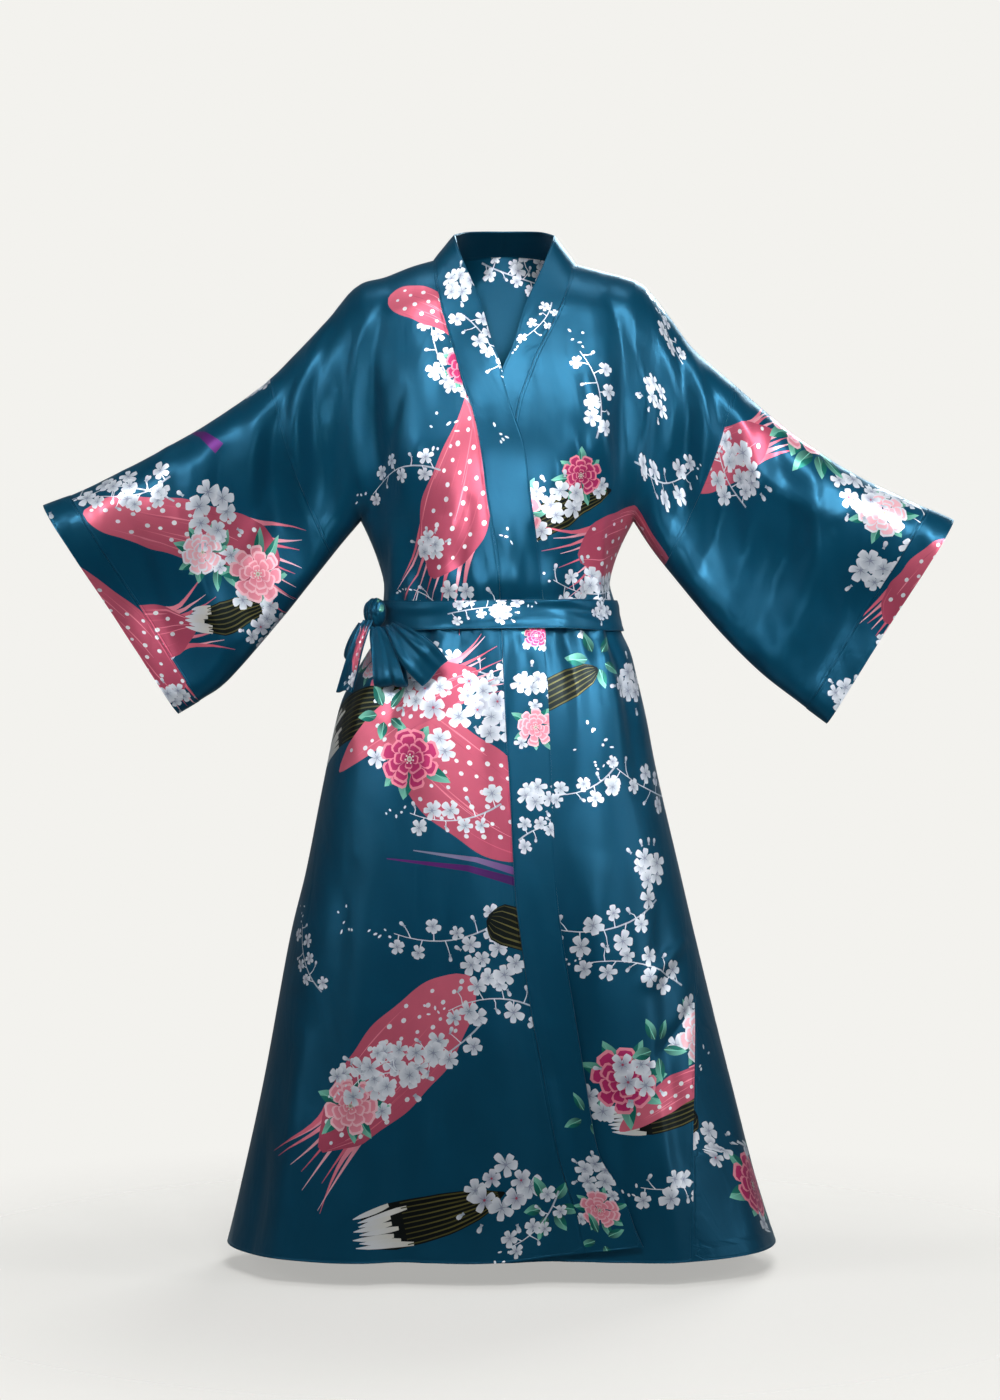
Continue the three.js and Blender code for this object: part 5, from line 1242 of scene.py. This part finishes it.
def printed_piece(name, patch, wall, puff=None):
    """Cuts the print's outlines into the sheet's own mesh and raises it into place."""
    R, C = patch.P.shape[:2]
    rr, cc = np.meshgrid(np.arange(R), np.arange(C), indexing="ij")
    ok = patch.keep(rr, cc) if hasattr(patch, "keep") else cc >= patch.first[:, None]
    index = np.full((R, C), -1)
    index[ok] = np.arange(ok.sum())
    if patch.swap:
        U, V = np.repeat(patch.row[:, None], C, 1), patch.col
    else:
        U, V = patch.col, np.repeat(patch.row[:, None], C, 1)
    pts = np.stack([U[ok], V[ok]], 1)
    loop = [index[r, c] for r, c in patch.loop()]
    if turn_of(pts[loop]) < 0:
        loop = loop[::-1]
    items = print_on(name, patch)
    verts = [Vector(p) for p in pts.tolist()]
    faces = [[int(i) for i in loop]]
    low, high = pts.min(0) - 60, pts.max(0) + 60
    kept = []
    for it in items:
        poly = it[0]
        if (poly.max(0) < low).any() or (poly.min(0) > high).any():
            continue
        base = len(verts)
        if turn_of(poly) < 0:
            poly = poly[::-1]
        verts += [Vector(p) for p in poly.tolist()]
        faces.append(list(range(base, base + len(poly))))
        kept.append(it)
    v, _e, f, _ov, _oe, of = delaunay_2d_cdt(verts, [], faces, 1, 1e-4, True)
    flat = np.array([(p.x, p.y) for p in v])
    inside = [(t, o) for t, o in zip(f, of) if 0 in o and len(t) == 3]
    tris = np.array([t for t, _o in inside])
    p0, p1, p2 = (flat[tris[:, k]] for k in range(3))
    size = np.abs((p1[:, 0] - p0[:, 0]) * (p2[:, 1] - p0[:, 1]) - (p2[:, 0] - p0[:, 0]) * (p1[:, 1] - p0[:, 1])) / 2
    filled = np.zeros(len(kept) + 1)
    for (_t, o), s in zip(inside, size.tolist()):
        for k in o:
            filled[k] += s
    # an outline that spills past its own area is left out
    spilt = {k for k, it in enumerate(kept, 1) if filled[k] > 1.25 * abs(turn_of(it[0])) / 2 + 3}
    tops = np.array([max((k for k in o if k not in spilt), default=0) for _t, o in inside])
    used = np.unique(tris)
    remap = np.full(len(flat), -1)
    remap[used] = np.arange(len(used))
    flat, tris = flat[used], remap[tris]
    P, N = patch.lift(flat[:, 0], flat[:, 1])
    a, b, c = (P[tris[:, k]] for k in range(3))
    out = np.cross(b - a, c - a)
    if ((out * N[tris[:, 0]]).sum(1) > 0).mean() < 0.5:
        tris = tris[:, ::-1]
    area = np.linalg.norm(out, axis=1)
    keep = area > 1e-7
    tris, tops = tris[keep], tops[keep]
    # measure how far each point lies from the seam line, and colour each corner
    border = pts[loop]
    edge = polyline_distance(flat, border)
    ink = np.tile(TEAL, (len(tris), 3, 1))
    corner = flat[tris]
    for k, it in enumerate(kept, 1):
        m = tops == k
        if not m.any():
            continue
        _p, c0, c1, centre, reach = it
        t = np.clip(np.linalg.norm(corner[m] - centre, axis=-1) / reach, 0, 1)[..., None]
        ink[m] = c0 * (1 - t) + c1 * t
    half = wall / 2
    if puff is not None:
        half_out = half + puff * np.clip(edge / 10, 0, 1) ** 0.5
    else:
        half_out = np.full(len(P), half)
    outer, inner = P + N * half_out[:, None], P - N * half
    piece = mesh_piece("cloth_" + name, outer, inner, N, tris, ink, flat, np.minimum(edge, 60))
    x, y = corner[..., 0], corner[..., 1]
    patch.area = float(np.abs((x[:, 1] - x[:, 0]) * (y[:, 2] - y[:, 0]) - (x[:, 2] - x[:, 0]) * (y[:, 1] - y[:, 0])).sum() / 2)
    patch.flat = np.ptp(flat, axis=0)
    return piece


# ------------------------------------------------------------------ materials
def satin(name, rough=0.34, wrinkle=0.35, line_mm=None, tint=(1, 1, 1)):
    m = bpy.data.materials.new(name)
    m.use_nodes = True
    nt = m.node_tree
    nt.nodes.clear()
    out = nt.nodes.new("ShaderNodeOutputMaterial")
    b = nt.nodes.new("ShaderNodeBsdfPrincipled")
    nt.links.new(b.outputs[0], out.inputs["Surface"])
    ink = nt.nodes.new("ShaderNodeVertexColor")
    ink.layer_name = "ink"
    uv = nt.nodes.new("ShaderNodeUVMap")
    uv.uv_map = "cloth"
    # colour: dye a little uneven
    n1 = nt.nodes.new("ShaderNodeTexNoise")
    n1.inputs["Scale"].default_value = 1.6
    n1.inputs["Detail"].default_value = 3.0
    nt.links.new(uv.outputs[0], n1.inputs["Vector"])
    ramp = nt.nodes.new("ShaderNodeMapRange")
    ramp.inputs["To Min"].default_value = 0.86
    ramp.inputs["To Max"].default_value = 1.14
    nt.links.new(n1.outputs["Fac"], ramp.inputs["Value"])
    mul = nt.nodes.new("ShaderNodeVectorMath")
    mul.operation = "SCALE"
    nt.links.new(ink.outputs["Color"], mul.inputs[0])
    nt.links.new(ramp.outputs[0], mul.inputs["Scale"])
    tinted = nt.nodes.new("ShaderNodeVectorMath")
    tinted.operation = "MULTIPLY"
    tinted.inputs[1].default_value = tint
    nt.links.new(mul.outputs[0], tinted.inputs[0])
    nt.links.new(tinted.outputs[0], b.inputs["Base Color"])
    # roughness varies a little
    n2 = nt.nodes.new("ShaderNodeTexNoise")
    n2.inputs["Scale"].default_value = 0.7
    nt.links.new(uv.outputs[0], n2.inputs["Vector"])
    r2 = nt.nodes.new("ShaderNodeMapRange")
    r2.inputs["To Min"].default_value = rough - 0.05
    r2.inputs["To Max"].default_value = rough + 0.07
    nt.links.new(n2.outputs["Fac"], r2.inputs["Value"])
    nt.links.new(r2.outputs[0], b.inputs["Roughness"])
    # soft small wrinkles, drawn long down the cloth
    mp = nt.nodes.new("ShaderNodeMapping")
    mp.inputs["Scale"].default_value = (2.4, 0.9, 1)
    mp.inputs["Rotation"].default_value = (0, 0, 0.25)
    nt.links.new(uv.outputs[0], mp.inputs["Vector"])
    n3 = nt.nodes.new("ShaderNodeTexNoise")
    n3.inputs["Scale"].default_value = 1.3
    n3.inputs["Detail"].default_value = 2.0
    n3.inputs["Distortion"].default_value = 0.6
    nt.links.new(mp.outputs[0], n3.inputs["Vector"])
    b1 = nt.nodes.new("ShaderNodeBump")
    b1.inputs["Strength"].default_value = wrinkle
    b1.inputs["Distance"].default_value = 0.004
    nt.links.new(n3.outputs["Fac"], b1.inputs["Height"])
    # weave
    w = nt.nodes.new("ShaderNodeTexWave")
    w.wave_type = "BANDS"
    w.bands_direction = "DIAGONAL"
    w.inputs["Scale"].default_value = 90.0
    w.inputs["Distortion"].default_value = 0.4
    nt.links.new(uv.outputs[0], w.inputs["Vector"])
    b2 = nt.nodes.new("ShaderNodeBump")
    b2.inputs["Strength"].default_value = 0.05
    b2.inputs["Distance"].default_value = 0.0003
    nt.links.new(w.outputs["Fac"], b2.inputs["Height"])
    nt.links.new(b1.outputs[0], b2.inputs["Normal"])
    last = b2
    # pucker and stitches beside the seams
    at = nt.nodes.new("ShaderNodeAttribute")
    at.attribute_name = "seam"
    fall = nt.nodes.new("ShaderNodeMapRange")
    fall.inputs["From Min"].default_value = 0.0
    fall.inputs["From Max"].default_value = 16.0
    fall.inputs["To Min"].default_value = 1.0
    fall.inputs["To Max"].default_value = 0.0
    nt.links.new(at.outputs["Fac"], fall.inputs["Value"])
    n4 = nt.nodes.new("ShaderNodeTexNoise")
    n4.inputs["Scale"].default_value = 9.0
    n4.inputs["Detail"].default_value = 1.0
    nt.links.new(uv.outputs[0], n4.inputs["Vector"])
    pk = nt.nodes.new("ShaderNodeMath")
    pk.operation = "MULTIPLY"
    nt.links.new(fall.outputs[0], pk.inputs[0])
    nt.links.new(n4.outputs["Fac"], pk.inputs[1])
    b3 = nt.nodes.new("ShaderNodeBump")
    b3.inputs["Strength"].default_value = 0.3
    b3.inputs["Distance"].default_value = 0.0016
    nt.links.new(pk.outputs[0], b3.inputs["Height"])
    nt.links.new(last.outputs[0], b3.inputs["Normal"])
    last = b3
    if line_mm:
        d = nt.nodes.new("ShaderNodeMath")
        d.operation = "SUBTRACT"
        d.inputs[1].default_value = line_mm
        nt.links.new(at.outputs["Fac"], d.inputs[0])
        ab = nt.nodes.new("ShaderNodeMath")
        ab.operation = "ABSOLUTE"
        nt.links.new(d.outputs[0], ab.inputs[0])
        lo = nt.nodes.new("ShaderNodeMapRange")
        lo.inputs["From Min"].default_value = 0.2
        lo.inputs["From Max"].default_value = 1.0
        nt.links.new(ab.outputs[0], lo.inputs["Value"])
        b4 = nt.nodes.new("ShaderNodeBump")
        b4.inputs["Strength"].default_value = 0.4
        b4.inputs["Distance"].default_value = 0.0007
        nt.links.new(lo.outputs[0], b4.inputs["Height"])
        nt.links.new(last.outputs[0], b4.inputs["Normal"])
        last = b4
    nt.links.new(last.outputs[0], b.inputs["Normal"])
    b.inputs["Metallic"].default_value = 0.5
    b.inputs["Specular IOR Level"].default_value = 0.42
    b.inputs["Specular Tint"].default_value = (0.6, 0.88, 1.0, 1)
    b.inputs["Anisotropic"].default_value = 0.35
    b.inputs["Sheen Weight"].default_value = 0.06
    b.inputs["Sheen Roughness"].default_value = 0.4
    return m


M_PRINT = satin("satin_print", 0.36, 0.3, 2.6)
M_BAND = satin("satin_band", 0.34, 0.22, 2.0)
M_SASH = satin("satin_sash", 0.32, 0.3, 1.6)


# ------------------------------------------------------------------ bands round the neck and down the fronts
def catmull(x, xs, ys):
    t = Table(np.column_stack([xs, ys]))
    return np.stack([t(x, k) for k in range(ys.shape[1])], -1)


UPPER_ROWS = [0, 0.022, 0.075, 0.155, 0.27, 0.4, 0.54, 0.69, 0.83, 0.945, 1]


def band_patch(s, across=12):
    over = s == "L"
    knots = [mix(neck_z[s], ARMPIT_Z, f) for f in UPPER_ROWS]
    z = np.r_[mix(neck_z[s], ARMPIT_Z, upper_f), lower_z]
    sx, ex = drawn(s, 0, z), drawn(s, 1, z)
    sx[0] = RIDGE[s][0][0]
    w = np.linspace(0, 1, across + 1)
    X, Z = mix(sx[:, None], ex[:, None], w), np.repeat(z[:, None], across + 1, 1)
    lift = lap_lift(X, Z).ravel() if over else 0.0
    lying, rough = place(X, Z, 1, lift)
    lying, rough = lying.reshape(*X.shape, 3), rough.reshape(*X.shape, 3)
    if over:
        lying[..., 2] += hem_rise(X, Z)
    # the free edge where the band stands
    i5, i6 = (int(np.abs(z - knots[k]).argmin()) for k in (5, 6))
    ks = np.array(list(knots[:5]) + [z[i5], z[i6]])
    ys = np.array(STAND[s][3:8] + [lying[i5, -1].tolist(), lying[i6, -1].tolist()])
    free = catmull(z, ks, ys)
    seam = lying[:, 0]
    standing = seam[:, None] + (free - seam)[:, None] * w[None, :, None]
    k = smooth(knots[3], knots[5] - 6, z)[:, None, None]
    P = mix(standing, lying, k)
    # round the back of the neck
    n = 26
    xb = np.linspace(0, RIDGE[s][0][0], n + 1)[:-1]
    nb, _ = place(xb, z_at(neck_line, xb), -1, 0.0, False)
    t = np.abs(xb) / abs(RIDGE[s][0][0])
    stand_b = catmull(t, np.array([0, 0.3, 0.6, 1.0]), np.array(STAND[s][:4], float))
    lean = (stand_b - nb)[:, None] * w[None, :, None]
    Pb = nb[:, None] + lean
    P = np.concatenate([Pb, P])
    tangent = np.gradient(P[:, 0], axis=0)
    away_ = unit(P[:, -1] - P[:, 0])
    outward = unit(np.cross(unit(tangent), away_))
    centre = np.array([0, 10, 0])
    sign = np.sign((outward * (P[:, 0] - centre) * [1, 1, 0]).sum(-1))
    rough = outward[:, None] * np.where(sign == 0, 1, sign)[:, None, None] * np.ones((1, across + 1, 1))
    lengths = np.r_[0, np.cumsum(np.linalg.norm(np.diff((P[:, 0] + P[:, -1]) / 2, axis=0), axis=1))]
    row = lengths - lengths[n + UP_N] - ARMPIT_Z
    a = arc(P)
    col = a if over else -a
    # narrow seam gap
    P[:, 0] += unit(P[:, 1] - P[:, 0]) * 0.4
    return Patch(P, row, col).face_out(rough)


# ------------------------------------------------------------------ sash and bow
def sash_patch():
    n, m = 220, 12
    z = np.linspace(SASH_TOP, SASH_FOOT, m + 1)
    th = np.linspace(-math.pi, math.pi, n + 1)
    rows, normals = [], []
    for zz in z:
        xl, xr = float(x_at(side["L"], zz)), float(x_at(side["R"], zz))
        xc, hw = (xl + xr) / 2, (xr - xl) / 2
        x = xc + hw * np.sin(th)
        front = np.cos(th) > 0
        off = np.where(front, mix(3.4, LAP_LIFT + 5.2, smooth(-150, -70, x) * (1 - smooth(70, 130, x))), 3.4)
        P, N = np.zeros((n + 1, 3)), np.zeros((n + 1, 3))
        for mk, face in ((front, 1), (~front, -1)):
            P[mk], N[mk] = place(np.clip(x[mk], xl, xr), np.full(mk.sum(), zz), face, off[mk], False)
        # soft lengthwise folds, uneven along the run
        f = (zz - SASH_TOP) / (SASH_FOOT - SASH_TOP)
        wob = 0.9 * np.sin(6.6 * f + 1.3 * np.sin(th * 2.1) + 0.7) + 0.6 * np.sin(13 * f + 2.0 * np.sin(th * 3.3 + 1))
        wob = wob * (0.45 + 0.55 * smooth(-0.2, 0.9, np.sin(th * 1.7 + 0.6) ** 2)) * np.sin(math.pi * np.clip(f, 0.04, 0.96)) ** 0.5
        P = P + N * (wob + 0.4)[:, None]
        P[:, 2] += 0.9 * np.sin(th * 3 + 0.5) * np.cos(th)
        rows.append(P)
        normals.append(N)
    P, rough = np.array(rows), np.array(normals)
    P[:, -1] = P[:, 0]
    P[:, 0, 0] -= 0.12
    P[:, -1, 0] += 0.12
    a = arc(P)
    col = a - a[:, n // 2 : n // 2 + 1]
    row = np.linspace(0, SASH_TOP - SASH_FOOT, m + 1) - SASH_TOP
    return Patch(P, row, col).face_out(rough)


def ribbon_patch(stations, out, n=40, m=18, pleats=3.0, curl=0.0, square=0.0, phase=0.0):
    """A strip of sash cloth from the knot; pleats open along its run."""
    st = np.array([s + [0] if len(s) == 4 else s for s in stations], float)
    l = np.r_[0, np.cumsum(np.linalg.norm(np.diff(st[:, :3], axis=0), axis=1))]
    t = np.linspace(0, l[-1], n)
    v = catmull(t, l, st)
    p, width, turn = v[:, :3], v[:, 3], np.radians(v[:, 4])
    run = unit(np.gradient(p, axis=0))
    out = np.array(out, float)
    flat = unit(np.cross([0, 0, -1.0], out))
    w = unit(np.stack([flat[0] * np.cos(turn), flat[1] * np.cos(turn), np.sin(turn)], -1))
    m_ = unit(np.cross(w, run))
    c = np.linspace(-0.5, 0.5, m)
    P = p[:, None] + w[:, None] * (c[None, :, None] * width[:, None, None])
    s = np.linspace(0, 1, n)[:, None]
    open_ = (1 - smooth(0.0, 0.8, s)) * 0.8 + 0.35
    fold = pleats * open_ * (np.cos(c[None] * 13 + phase + 0.8 * s) * 0.6 + 0.4 * np.cos(c[None] * 24 + phase * 2 + 1.0)) * np.sin(math.pi * np.clip(s * 0.94 + 0.06, 0, 1)) ** 0.35
    P = P + m_[:, None] * (fold + curl * (c[None] ** 2 * 4) * s)[..., None]
    P[..., 2] += 1.4 * np.cos(c[None] * 7 + phase) * s
    a = arc(P)
    col = a - a[:, m // 2 : m // 2 + 1]
    row = np.r_[0, np.cumsum(np.linalg.norm(np.diff(P[:, m // 2], axis=0), axis=1))]
    col = col + p[:, 0].mean()
    row = row - row[-1] / 2 - p[:, 2].mean()
    patch = Patch(P, row, col)
    return patch


LOOP_INNER = [
    [-162, -60, -469, 20], [-158, -68, -480, 30], [-152, -76, -497, 40], [-147, -84, -516, 46], [-144, -93, -532, 49], [-143, -99, -541, 50],
    [-143.5, -104, -545, 49], [-145, -108, -540, 48], [-148, -105, -526, 44], [-152, -94, -504, 36], [-157, -82, -484, 26], [-162, -69, -470, 16],
]
LOOP_OUTER = [
    [-144, -80, -466, 16, -20], [-134, -98, -476, 28, -30], [-121, -113, -491, 42, -38], [-106, -124, -507, 50, -42], [-94, -128, -520, 50, -44], [-86, -130, -529, 48, -44],
]
TAIL = [[-174, -54, -460, 18], [-182, -58, -478, 22], [-190, -60, -500, 26], [-197, -60, -524, 30], [-205, -60, -552, 32]]
LOOP_SIDE = [[-184, -30, -463, 18], [-192, -29, -477, 24], [-199, -26, -492, 28], [-202, -22, -504, 28], [-201, -16.5, -508, 27], [-198, -12, -500, 24], [-192, -13, -484, 20]]


def knot_patch():
    n, m = 56, 40
    t = math.radians(62)
    out, wide = np.array([-math.sin(t), -math.cos(t), 0]), np.array([math.cos(t), -math.sin(t), 0])
    tab = Table([[-19.5, 0.03], [-19, 0.36], [-17.6, 0.68], [-12, 0.93], [-3, 1], [7, 1], [14, 0.88], [17.6, 0.66], [19, 0.36], [19.5, 0.03]])
    w = -19.5 * np.cos(np.linspace(0, math.pi, m))
    k = tab(w, 0)
    a = np.linspace(0, 2 * math.pi, n)
    K, A = np.meshgrid(k, a, indexing="ij")
    W = np.meshgrid(w, a, indexing="ij")[0]
    wrap = 1 + 0.075 * np.cos(W * 0.55 + 1.4 * np.sin(A) + 0.6) + 0.05 * np.cos(W * 1.1 - 2 * np.cos(A))
    P = np.array([-166.0, -45.0, -450.0]) + wide * W[..., None] + out * (9.6 * K * wrap * np.cos(A))[..., None]
    P[..., 2] += 17 * K * wrap * np.sin(A)
    P[:, -1] = P[:, 0]
    P[:, 0, 2] += 0.05
    a_ = arc(P)
    col = a_ - a_[:, n // 2 : n // 2 + 1]
    row = np.r_[0, np.cumsum(np.linalg.norm(np.diff(P[:, 0], axis=0), axis=1))]
    rough = P - np.array([-166.0, -45.0, -450.0])
    return Patch(P, row, col, swap=True).face_out(rough)


# ------------------------------------------------------------------ build
pieces = {}


def add(name, patch, wall, mat, puff=None):
    ob = printed_piece(name, patch, wall, puff)
    ob.data.materials.append(mat)
    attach(ob, "root")
    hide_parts(name)
    pieces[name] = (ob, patch)


around = 46
sleeve_rows = 62
patches = {
    "back_panel": make_back(),
    "front_right_upper": front_patch("L"),
    "front_left_lower": front_patch("R"),
    "sleeve_right": sleeve_patch("L", 0.0008, cuff_share("L") - 0.0008, sleeve_rows, around),
    "sleeve_left": sleeve_patch("R", 0.0008, cuff_share("R") - 0.0008, sleeve_rows, around),
    "cuff_band_right": sleeve_patch("L", cuff_share("L") + 0.0008, 1.0, 9, around),
    "cuff_band_left": sleeve_patch("R", cuff_share("R") + 0.0008, 1.0, 9, around),
    "neck_band_right": band_patch("L"),
    "neck_band_left": band_patch("R"),
    "sash": sash_patch(),
    "sash_knot": knot_patch(),
    "sash_loop_inner": ribbon_patch(LOOP_INNER, [-0.5, -0.86, 0], 60, 18, 2.2, 0, 0, 0.4),
    "sash_loop_outer": ribbon_patch(LOOP_OUTER, [-0.33, -0.94, 0], 40, 20, 3.0, 0, 0, 1.2),
    "sash_tail": ribbon_patch(TAIL, [-0.75, -0.66, 0], 36, 12, 1.8, 0, 0, 0.2),
    "sash_loop_side": ribbon_patch(LOOP_SIDE, [-0.9, -0.4, 0], 40, 12, 1.8, 0, 0, 2.0),
}
for name in ("back_panel", "front_right_upper", "front_left_lower", "sleeve_right", "sleeve_left"):
    add(name, patches[name], CLOTH, M_PRINT)
for name in ("cuff_band_right", "cuff_band_left", "neck_band_right", "neck_band_left"):
    add(name, patches[name], BAND, M_BAND, puff=0.5)
for name in ("sash", "sash_knot", "sash_loop_inner", "sash_loop_outer", "sash_tail", "sash_loop_side"):
    add(name, patches[name], 1.2 if name == "sash_knot" else SASH, M_SASH, puff=0.3)

# flat sizes of each sheet, width and length in metres, as it would be cut
for name, (ob, patch) in pieces.items():
    w, l = sorted(patch.flat)
    w, l = round(w / 1000, 4), round(l / 1000, 4)

# ------------------------------------------------------------------ floor, light, camera
def mesh_object(name, verts, faces):
    me = bpy.data.meshes.new(name)
    me.from_pydata(verts, [], faces)
    me.update()
    ob = bpy.data.objects.new(name, me)
    bpy.context.scene.collection.objects.link(ob)
    return ob


PALE = (0.896, 0.888, 0.855)
floor = mesh_object("floor", [(x, y, 0.0) for x, y in ((-6, -6), (6, -6), (6, 6), (-6, 6))], [(0, 1, 2, 3)])
floor.location = (0, 0, -1.3)
fm = bpy.data.materials.new("floor")
fm.use_nodes = True
nt = fm.node_tree
nt.nodes.clear()
o = nt.nodes.new("ShaderNodeOutputMaterial")
dif = nt.nodes.new("ShaderNodeBsdfDiffuse")
dif.inputs["Color"].default_value = (*PALE, 1)
tr = nt.nodes.new("ShaderNodeBsdfTransparent")
mx = nt.nodes.new("ShaderNodeMixShader")
geo = nt.nodes.new("ShaderNodeTexCoord")
ln = nt.nodes.new("ShaderNodeVectorMath")
ln.operation = "LENGTH"
nt.links.new(geo.outputs["Object"], ln.inputs[0])
mr = nt.nodes.new("ShaderNodeMapRange")
mr.interpolation_type = "SMOOTHSTEP"
mr.inputs["From Min"].default_value = 0.45
mr.inputs["From Max"].default_value = 1.15
mr.inputs["To Min"].default_value = 0.45
nt.links.new(ln.outputs["Value"], mr.inputs["Value"])
nt.links.new(mr.outputs[0], mx.inputs[0])
nt.links.new(dif.outputs[0], mx.inputs[1])
nt.links.new(tr.outputs[0], mx.inputs[2])
nt.links.new(mx.outputs[0], o.inputs["Surface"])
floor.data.materials.append(fm)

world = bpy.data.worlds.new("studio")
bpy.context.scene.world = world
world.use_nodes = True
nt = world.node_tree
nt.nodes.clear()
o = nt.nodes.new("ShaderNodeOutputWorld")
seen, lit = nt.nodes.new("ShaderNodeBackground"), nt.nodes.new("ShaderNodeBackground")
seen.inputs["Color"].default_value = (*PALE, 1)
seen.inputs["Strength"].default_value = 1.0
lit.inputs["Color"].default_value = (0.9, 0.94, 1.0, 1)
lit.inputs["Strength"].default_value = 0.085
lp = nt.nodes.new("ShaderNodeLightPath")
mx = nt.nodes.new("ShaderNodeMixShader")
nt.links.new(lp.outputs["Is Camera Ray"], mx.inputs[0])
nt.links.new(lit.outputs[0], mx.inputs[1])
nt.links.new(seen.outputs[0], mx.inputs[2])
nt.links.new(mx.outputs[0], o.inputs["Surface"])


def area(name, place_, aim, size, energy, colour=(1, 1, 1), spread=180, shine=1.0):
    d = bpy.data.lights.new(name, "AREA")
    d.shape = "RECTANGLE"
    d.size, d.size_y = size
    d.energy = energy
    d.color = colour
    d.spread = math.radians(spread)
    d.specular_factor = shine
    ob = bpy.data.objects.new(name, d)
    bpy.context.scene.collection.objects.link(ob)
    ob.location = place_
    ob.rotation_euler = (Vector(aim) - Vector(place_)).to_track_quat("-Z", "Y").to_euler()
    return ob


area("key", (0.25, -2.6, 1.75), (0.05, 0, -0.35), (1.3, 0.7), 64)
area("chest", (0.03, -3.1, -0.6), (0.02, 0, -0.27), (0.42, 0.5), 0.32, spread=15)
area("sleeve", (1.9, -2.6, 1.0), (0.42, 0, -0.34), (0.7, 0.7), 2.1, spread=26)
area("sleeve far", (-1.9, -2.6, 0.9), (-0.42, 0, -0.34), (0.6, 0.6), 1.0, spread=26)
area("hip", (0.75, -3.0, 0.35), (0.12, 0, -0.6), (0.5, 0.5), 0.16, spread=14)
area("left", (-2.7, -1.5, 0.5), (-0.1, 0, -0.5), (0.4, 1.4), 11)
area("top", (0.0, -0.2, 2.2), (0, 0, -0.4), (1.4, 0.7), 18, shine=0.35)
area("behind", (1.0, 2.6, 1.4), (0, 0, -0.5), (1.4, 0.9), 52, shine=0.6)
area("rim", (2.7, -0.9, 0.0), (0, 0, -0.6), (0.35, 1.3), 11, shine=0.5)

cam = bpy.data.cameras.new("camera")
cam.lens = 36.0 * VIEW / (1400 * 1.31)
cam.sensor_width = 36.0
cob = bpy.data.objects.new("camera", cam)
bpy.context.scene.collection.objects.link(cob)
cob.location = (VIEW_X / 1000, -VIEW / 1000, VIEW_Z / 1000)
cob.rotation_euler = (math.pi / 2, 0, 0)
bpy.context.scene.camera = cob
bpy.context.scene.view_settings.view_transform = "Standard"
bpy.context.scene.view_settings.look = "None"
